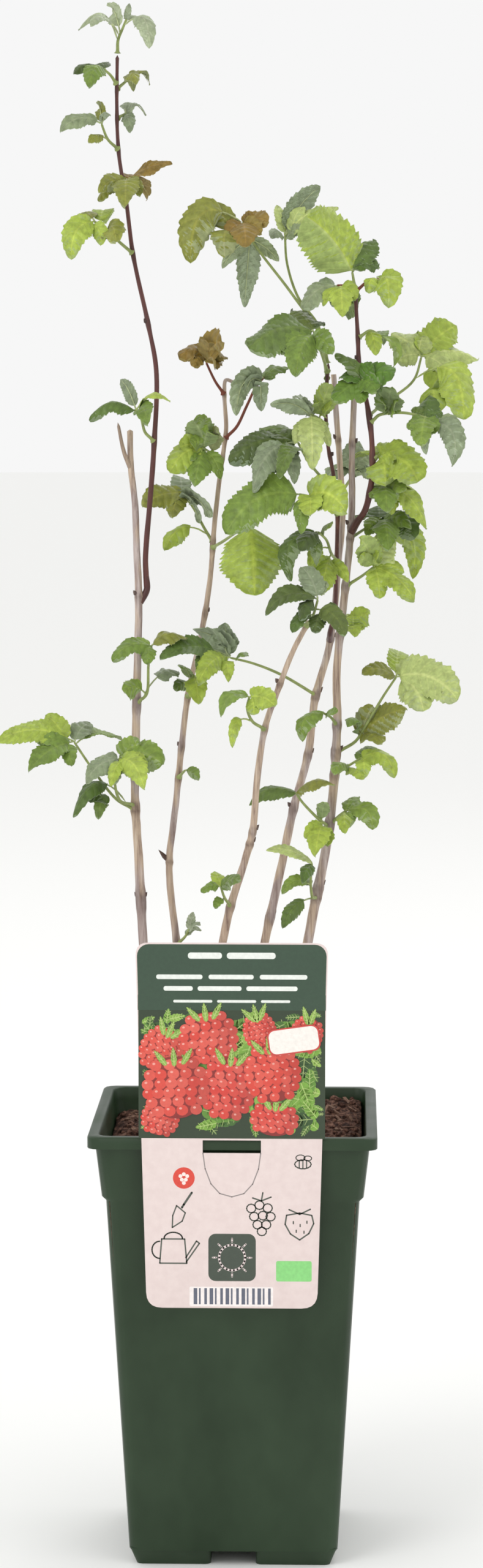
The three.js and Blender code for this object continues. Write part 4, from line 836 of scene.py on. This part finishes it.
def draw_line_art(tag):
    """Garden tools and fruit as simple lines, two colour fields and a striped field."""
    line = linear("#4A5147")
    tag.block(-9.7, 9.9, 126.4, 146.3, linear("#3B4639"), 1, 3.0)
    tag.arc(0.1, 136.3, (5.4, 5.4), 0, 360, 0.9, linear("#E3D3D0"), 2, 22)
    for turn in range(0, 360, 45):
        a = math.radians(turn)
        tag.line([(0.1 + 6.6 * math.cos(a), 136.3 + 6.6 * math.sin(a)),
                  (0.1 + 8.0 * math.cos(a), 136.3 + 8.0 * math.sin(a))], 0.7, linear("#E3D3D0"), 2)
    tag.block(18.3, 33, 126.4, 135, linear("#88D37C"), 1, 0.8)
    tag.block(-17.5, 17.1, 115.8, 124, linear("#F1E9E6"), 1, 0.6)
    for i in range(15):
        left = -15.8 + i * 2.2
        tag.block(left, left + (1.5, 0.7, 1.1)[i % 3], 116.6, 123.4, linear("#5B6070"), 2)
    tag.disc(-19.8, 169.6, (4.5, 4.5), linear("#D8402F"), 1, 0, 28)
    for x, z in ((-21.2, 170.4), (-19.8, 171.2), (-18.4, 170.4), (-20.6, 168.9), (-19, 168.9), (-19.8, 167.5)):
        tag.disc(x, z, (0.8, 0.8), linear("#F7E4DF"), 2, 0, 12)
    # the notch that lets the tag hang
    tag.line([(-11.9, 180), (-11.0, 173.5), (-8.6, 167.2), (-5.0, 163.2), (0, 161.8), (5.0, 163.2), (8.6, 167.2),
              (11.0, 173.5), (11.9, 180)], 0.45, linear("#8E8583"), 1)
    # bee
    tag.arc(29.3, 175.6, (3.4, 1.9), 0, 360, 0.5, line, 1)
    for x in (27.8, 29.3, 30.8):
        tag.line([(x, 174.0), (x, 177.2)], 0.5, line, 1)
    tag.arc(28.3, 178.3, (1.9, 1.2), 0, 360, 0.4, line, 1)
    tag.arc(31.3, 178.1, (1.6, 1.0), 0, 360, 0.4, line, 1)
    # trowel
    tag.line([(-16.5, 163.5), (-19.8, 158.5), (-20.6, 157.2)], 0.9, line, 1)
    tag.line([(-22.8, 158.0), (-19.2, 155.0), (-20.5, 151.5), (-24.6, 148.8), (-24.4, 153.8), (-22.8, 158.0)],
             0.55, line, 1)
    # watering can
    tag.line([(-29, 144), (-19.5, 144), (-18.6, 133.8), (-29.8, 133.8), (-29, 144)], 0.6, line, 1)
    tag.line([(-19.0, 136.2), (-14.6, 143.2), (-13.4, 142.2), (-18.8, 134.4)], 0.6, line, 1)
    tag.arc(-29.8, 139.4, (3.2, 3.6), 90, 270, 0.6, line, 1)
    tag.arc(-24.2, 144.2, (3.8, 2.6), 0, 180, 0.6, line, 1)
    # berry
    for i, (x, z) in enumerate(((8, 157), (11.4, 158.4), (14.8, 157.2), (9.2, 153.6), (12.8, 154), (16, 153.6),
                                (10.6, 150.2), (14.2, 150.2), (12.4, 147.4))):
        tag.arc(x, z, (1.9, 1.8), 0, 360, 0.5, line, 1, 12)
    tag.line([(12.2, 160.2), (12.8, 163.6)], 0.6, line, 1)
    tag.line([(8.6, 161.4), (12.2, 160.2), (16.2, 161.8)], 0.6, line, 1)
    # strawberry
    tag.line([(22.6, 154.2), (22.0, 150.4), (24.2, 146.4), (28.0, 143.9), (31.8, 146.6), (33.8, 150.8),
              (33.0, 154.2), (28.0, 155.2), (22.6, 154.2)], 0.6, line, 1)
    tag.line([(23.6, 156.6), (28.0, 154.6), (32.4, 156.8)], 0.6, line, 1)
    for x, z in ((25.4, 151.6), (28.2, 150.4), (31.0, 151.8), (26.6, 148.0), (29.8, 147.6)):
        tag.line([(x, z), (x, z - 0.9)], 0.5, line, 1)


class RASPBERRY_OT_tag(bpy.types.Operator):
    """Build the coated tag with its hook and its printed picture"""
    bl_idname = "raspberry.tag"
    bl_label = "Tag"

    def execute(self, context):
        settings = context.scene.raspberry_tag
        bm = bmesh.new()
        bm.from_mesh(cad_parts["card"].data)
        bmesh.ops.remove_doubles(bm, verts=bm.verts, dist=2e-6)
        bmesh.ops.dissolve_limit(bm, angle_limit=math.radians(1.0), verts=bm.verts, edges=bm.edges)
        sharp = [e for e in bm.edges if e.is_manifold and e.calc_face_angle() > math.radians(50)]
        bmesh.ops.bevel(bm, geom=sharp, offset=0.1 * MM, offset_type="OFFSET", segments=2, profile=0.5,
                        affect="EDGES", material=-1, clamp_overlap=True)
        bmesh.ops.triangulate(bm, faces=bm.faces)
        finish_piece("tag_board", bm, coated_card(settings), "card", "tag_card", 40.0)
        tag = TagPrint(settings)
        rng = random.Random(5)
        draw_header(tag, settings)
        draw_fruit_picture(tag, settings, rng)
        draw_line_art(tag)
        finish_piece("tag_print", tag.bm, offset_ink(), None, "tag_card", 30.0)
        return {"FINISHED"}


# ---- stems ----

def build_stem(row, material, slot):
    """One cane or shoot: a tube with swollen, dark nodes, side buds and a rough dead end."""
    name, _, _, _, points = row
    path, (foot, end) = STEM_PATHS[name], STEM_RADII[name]
    nodes = [(path.at_height(b[1] * MM), b) for b in BUDS if b[0] == name]
    nodes += [(path.at_height(leaf[2] * MM), None) for leaf in LEAVES if leaf[1] == name]
    reach = sum((Vector(b) - Vector(a)).length for a, b in zip(points, points[1:]))
    seed = Vector((sum(map(ord, name)) * 0.37, 0, 0))

    def swell(t):
        return sum(math.exp(-((t - place) * reach / 2.6) ** 2) for place, _ in nodes)

    def radius_at(t, angle):
        rough = noise.noise(seed + Vector((math.cos(angle) * 1.2, math.sin(angle) * 1.2, t * reach / 9)))
        return blend(foot, end, t) * (1 + 0.22 * min(swell(t), 1.0) + 0.1 * rough)

    bm = bmesh.new()
    mark = bm.verts.layers.float.new("mark")
    made = tube(bm, path, int(reach / 1.6), 14, radius_at)
    for v in made:
        share = path.at_height(v.co.z) if name != "cane_b" or v.co.z < 0.494 else 0.99
        v[mark] = min(0.75, 0.75 * swell(share)) * (0.55 + 0.45 * noise.noise(v.co * 900))
    if name in PARENTS:
        parent, height = PARENTS[name]
        axis = STEM_PATHS[parent].at(STEM_PATHS[parent].at_height(height * MM))
        collar = SmoothPath([axis, path.at(0.0), path.at(0.05)])
        for v in tube(bm, collar, 16, 12, lambda t, angle: foot * blend(1.25, 1.0, t)):
            v[mark] = 0.4
    if name == "cane_a":
        fork = SmoothPath([plant_point(p) for p in ((-44, 0, 459), (-47, -1.5, 467), (-49.4, -2, 479))])
        for v in tube(bm, fork, 14, 8, lambda t, angle: blend(1.1, 0.6, t) * MM):
            v[mark] = 0.25
    for place, bud in nodes:
        if bud is None:
            continue
        centre, side = path.at(place), math.radians(bud[2])
        out = Vector((math.cos(side), math.sin(side), 1.15)).normalized()
        length = bud[3] * 0.8 * MM
        made = bmesh.ops.create_icosphere(bm, subdivisions=2, radius=1.0)["verts"]
        for v in made:
            slim = 1 - 0.75 * max(0.0, v.co.z) ** 1.3
            v.co.x, v.co.y = v.co.x * slim, v.co.y * slim
            v[mark] = 0.85
        place_copy(bm, made, centre + out * (blend(foot, end, place) + length * 0.25), out,
                   (1.05 * MM, 1.05 * MM, length * 0.55))
    point_out(bm)
    finish_piece(f"{name}_stem", bm, material, name, slot, 60.0)


class RASPBERRY_OT_canes(bpy.types.Operator):
    """Grow the five old canes"""
    bl_idname = "raspberry.canes"
    bl_label = "Old canes"

    def execute(self, context):
        material = weathered_bark(context.scene.raspberry_plant)
        for row in STEMS:
            if row[1] == "bark":
                build_stem(row, material, "cane_bark")
        return {"FINISHED"}


class RASPBERRY_OT_shoots(bpy.types.Operator):
    """Grow the three new shoots"""
    bl_idname = "raspberry.shoots"
    bl_label = "New shoots"

    def execute(self, context):
        material = young_bark(context.scene.raspberry_plant)
        for row in STEMS:
            if row[1] == "shoot":
                build_stem(row, material, "shoot_bark")
        return {"FINISHED"}


# ---- leaves ----

class Spray:
    """One leaf: its stalk and leaflets, gathered in a bmesh with the attributes the leaf material reads."""

    def __init__(self, settings, rng):
        self.settings, self.rng = settings, rng
        self.bm = bmesh.new()
        self.tint = self.bm.verts.layers.float_color.new("tint")
        self.blade = self.bm.verts.layers.float_vector.new("blade")

    def paint(self, verts, colour, spot):
        for v in verts:
            v[self.tint] = colour
            v[self.blade] = spot

    def leaflet(self, base, tip, width, lean, arch, bare, tint):
        """One toothed, pleated leaflet from the stalk at base to its tip."""
        bm, rng = self.bm, self.rng
        chord = tip - base
        length = chord.length
        ahead = chord.normalized()
        angle = math.radians(lean)
        face = Vector((0, -math.sin(angle), math.cos(angle)))
        rise = Vector((0, 0, 1)) - ahead * ahead.z
        if rise.length < 0.35:
            rise = face - ahead * ahead.dot(face)
        rise.normalize()
        bow = 4 * arch * length

        def at(u):
            return base + chord * u + rise * (bow * u * (1 - u))

        def axes(u):
            along = (chord + rise * (bow * (1 - 2 * u))).normalized()
            side = along.cross(face).normalized()
            return along, side, side.cross(along)

        blade_length = length * (1 - bare)
        teeth = max(5, min(14, round(blade_length / self.settings.tooth)))
        veins = max(4, min(8, round(blade_length / (3.4 * MM))))
        half = width / 2 * (1.1 if width < 8 * MM else 1.25)
        roundness = min(1.0, max(0.0, (width / blade_length - 0.4) / 0.45))
        foot_round, tip_round = 0.5 - 0.12 * roundness, 0.75 - 0.3 * roundness
        widest = foot_round / (foot_round + tip_round)
        fullest = widest ** foot_round * (1 - widest) ** tip_round
        cup = rng.uniform(-0.62, 0.12)
        wave, phase = rng.uniform(0.08, 0.2), rng.uniform(0, 6.3)
        twist, droop = rng.uniform(-0.5, 0.5), rng.uniform(0.0, 0.16) * length
        pleat = self.settings.pleat * min(1.25, 0.35 + width / (14 * MM))
        upper, lower = [linear(code) for code in TINTS[tint]]
        shift = rng.uniform(-0.1, 0.1)
        other = (0, 0, 0, 1) if shift < 0 else linear("#C8D46A")
        upper, lower = [blend_colour(colour, other, abs(shift)) for colour in (upper, lower)]

        sheet = bmesh.ops.create_grid(bm, x_segments=4 * teeth, y_segments=10, size=1.0)["verts"]
        for v in sheet:
            u, s = (v.co.x + 1) / 2, -v.co.y
            reach = abs(s)
            outline = u ** foot_round * (1 - u) ** tip_round / fullest
            jag = 1 - (0.15 * (1 - (u * teeth) % 1.0) + 0.05 * (1 - (u * teeth * 2) % 1.0)) * reach ** 4
            across = half * (outline * jag * 0.985 + 0.015) * s
            vein = veins * (u - 0.2 * reach)
            swollen = abs(math.sin(math.pi * vein)) ** 0.7 - 0.55
            edge = min(1.0, 5 * reach) * (1 - 0.6 * reach ** 3) * min(1.0, 8 * u * (1 - u))
            lift = pleat * swollen * edge
            lift += cup * abs(across) + wave * half * reach ** 2 * math.sin(phase + 9 * u + (2 if s > 0 else 0))
            place = blend(bare, 1.0, u)
            along, side, out = axes(place)
            turn = twist * u
            side, out = side * math.cos(turn) + out * math.sin(turn), out * math.cos(turn) - side * math.sin(turn)
            v.co = at(place) + side * across + out * lift - Vector((0, 0, droop * u ** 3))
            v[self.tint] = upper
            v[self.blade] = Vector((vein, reach, 0.0))
        faces = list({f for v in sheet for f in v.link_faces})
        before = set(bm.verts)
        bmesh.ops.solidify(bm, geom=faces, thickness=self.settings.blade)
        for v in bm.verts:
            if v not in before:
                v[self.tint] = lower
                v[self.blade] = Vector((v[self.blade].x, v[self.blade].y, 1.0))

        rib = [at(u) - Vector((0, 0, droop * max(0.0, (u - bare) / (1 - bare)) ** 3)) - axes(u)[2] * self.settings.blade * (1.2 if u > bare else 0.3)
               for u in (0.0, bare * 0.5, bare + 0.02, blend(bare, 1, 0.3), blend(bare, 1, 0.6), 0.97)]
        made = tube(bm, SmoothPath(rib), 10, 6, lambda t, _: blend(0.42, 0.12, t) * MM)
        self.paint(made, blend_colour(lower, linear("#C3CB86"), 0.4), Vector((0.5, 0.5, 0.6)))


    def side_lobes(self, base, tip, width, lean, arch, bare, tint):
        """Two smaller leaflets that spread from the foot of a broad one."""
        angle = math.radians(lean)
        face = Vector((0, -math.sin(angle), math.cos(angle)))
        foot = base + (tip - base) * (bare + 0.04)
        for sign in (-1, 1):
            spread = Matrix.Rotation(sign * math.radians(self.rng.uniform(38, 62)), 3, face)
            reach = spread @ (tip - foot) * self.rng.uniform(0.5, 0.68)
            reach.z -= self.rng.uniform(0.0, 0.2) * reach.length
            self.leaflet(foot, foot + reach, width * self.rng.uniform(0.62, 0.8),
                         lean + self.rng.uniform(-20, 20), arch, 0.03, tint)


def build_leaf(row, settings, material):
    name, stem, height, tints, stalk_points, leaflets = row
    rng = random.Random(name)
    spray = Spray(settings, rng)
    path = STEM_PATHS[stem]
    share = path.at_height(height * MM)
    root, radius = path.at(share), blend(*STEM_RADII[stem], share)
    points = [plant_point(p) for p in stalk_points]
    away = (points[0] - root).normalized() * (radius + STALK_START * MM)
    stalk = SmoothPath([root + away, *points])
    red = name in RED_STALKS
    colour = linear("#7A4030" if red else "#93A060")
    whole = SmoothPath([root + away * 0.25, root + away, *points])
    made = tube(spray.bm, whole, 8 * len(points) + 8, 8, lambda t, _: MM * (
        blend(STALK_RADIUS[0], STALK_RADIUS[1], t) * 0.92 + 0.75 * math.exp(-(t * len(points) / 0.35) ** 2)))
    spray.paint(made, colour, Vector((0.5, 0.5, 0.6)))
    tints = tints.split()
    for i, (place, tip, width, lean, arch, bare) in enumerate(leaflets):
        base, tip, tint = stalk.at(min(place, 0.98)), plant_point(tip), tints[i % len(tints)]
        spray.leaflet(base, tip, width * MM, lean, arch, bare, tint)
        if LOBED[0] <= width <= LOBED[1]:
            spray.side_lobes(base, tip, width * MM, lean, arch, bare, tint)
    finish_piece(f"{name}_spray", spray.bm, material, name, "leaf", 75.0)


class RASPBERRY_OT_leaves(bpy.types.Operator):
    """Grow every leaf with its stalk, toothed leaflets and veins"""
    bl_idname = "raspberry.leaves"
    bl_label = "Leaves"

    def execute(self, context):
        material = leaf_skin()
        for row in LEAVES:
            build_leaf(row, context.scene.raspberry_plant, material)
        return {"FINISHED"}


# ---- stage ----

class RASPBERRY_OT_stage(bpy.types.Operator):
    """Set the pale floor, the soft lights and the camera"""
    bl_idname = "raspberry.stage"
    bl_label = "Stage"

    def execute(self, context):
        bm = bmesh.new()
        bmesh.ops.create_circle(bm, cap_ends=True, segments=96, radius=40.0)
        material, _, shader = new_material("matt_studio_floor", 0.85, specular=0.1)
        shader.inputs["Base Color"].default_value = linear("#FAFAF8")
        finish_piece("studio_floor", bm, material, smooth_angle=60.0)

        world = bpy.data.worlds.new("studio_air")
        world.use_nodes = True
        world.node_tree.nodes["Background"].inputs["Color"].default_value = (1.0, 1.0, 1.0, 1.0)
        world.node_tree.nodes["Background"].inputs["Strength"].default_value = 0.93
        context.scene.world = world
        for name, place, size, power in (("key_light", (-1.3, -1.7, 1.9), 1.4, 15.0),
                                         ("fill_light", (1.7, -1.3, 1.2), 1.6, 3.0),
                                         ("back_light", (0.6, 1.7, 1.8), 1.2, 5.0)):
            light = bpy.data.lights.new(name, "AREA")
            light.shape, light.size, light.energy = "DISK", size, power
            lamp = bpy.data.objects.new(name, light)
            lamp.location = place
            lamp.rotation_euler = (Vector((0, 0, 0.33)) - Vector(place)).to_track_quat("-Z", "Y").to_euler()
            context.collection.objects.link(lamp)

        lens = bpy.data.cameras.new("studio_camera")
        lens.sensor_fit, lens.sensor_height, lens.sensor_width = "AUTO", 36.0, 36.0
        lens.lens = 89.81
        lens.clip_start, lens.clip_end = 0.05, 20.0
        camera = bpy.data.objects.new("studio_camera", lens)
        camera.location = (0.04717, -1.6462, 0.49905)
        camera.rotation_euler = (math.radians(90 - 5.98), 0.0, math.radians(1.56))
        context.collection.objects.link(camera)
        context.scene.camera = camera
        context.scene.view_settings.view_transform = "Standard"
        return {"FINISHED"}


BUILD_ORDER = ("stage", "pot", "soil", "tag", "canes", "shoots", "leaves")


class RASPBERRY_PT_panel(bpy.types.Panel):
    """Sizes, colours and build steps of the potted raspberry plant"""
    bl_idname = "RASPBERRY_PT_panel"
    bl_label = "Potted raspberry plant"
    bl_space_type = "VIEW_3D"
    bl_region_type = "UI"
    bl_category = "Raspberry"

    def draw(self, context):
        for group in (context.scene.raspberry_pot, context.scene.raspberry_tag, context.scene.raspberry_plant):
            box = self.layout.box()
            for name in group.__annotations__:
                box.prop(group, name)
        for step in BUILD_ORDER:
            self.layout.operator(f"raspberry.{step}")


CLASSES = (PotSettings, TagSettings, PlantSettings, RASPBERRY_OT_stage, RASPBERRY_OT_pot, RASPBERRY_OT_soil,
           RASPBERRY_OT_tag, RASPBERRY_OT_canes, RASPBERRY_OT_shoots, RASPBERRY_OT_leaves, RASPBERRY_PT_panel)


def register():
    for each in CLASSES:
        bpy.utils.register_class(each)
    bpy.types.Scene.raspberry_pot = bpy.props.PointerProperty(type=PotSettings)
    bpy.types.Scene.raspberry_tag = bpy.props.PointerProperty(type=TagSettings)
    bpy.types.Scene.raspberry_plant = bpy.props.PointerProperty(type=PlantSettings)


def unregister():
    for name in ("raspberry_pot", "raspberry_tag", "raspberry_plant"):
        delattr(bpy.types.Scene, name)
    for each in reversed(CLASSES):
        bpy.utils.unregister_class(each)


def main():
    register()
    for step in BUILD_ORDER:
        getattr(bpy.ops.raspberry, step)()


if __name__ == "__main__":
    main()
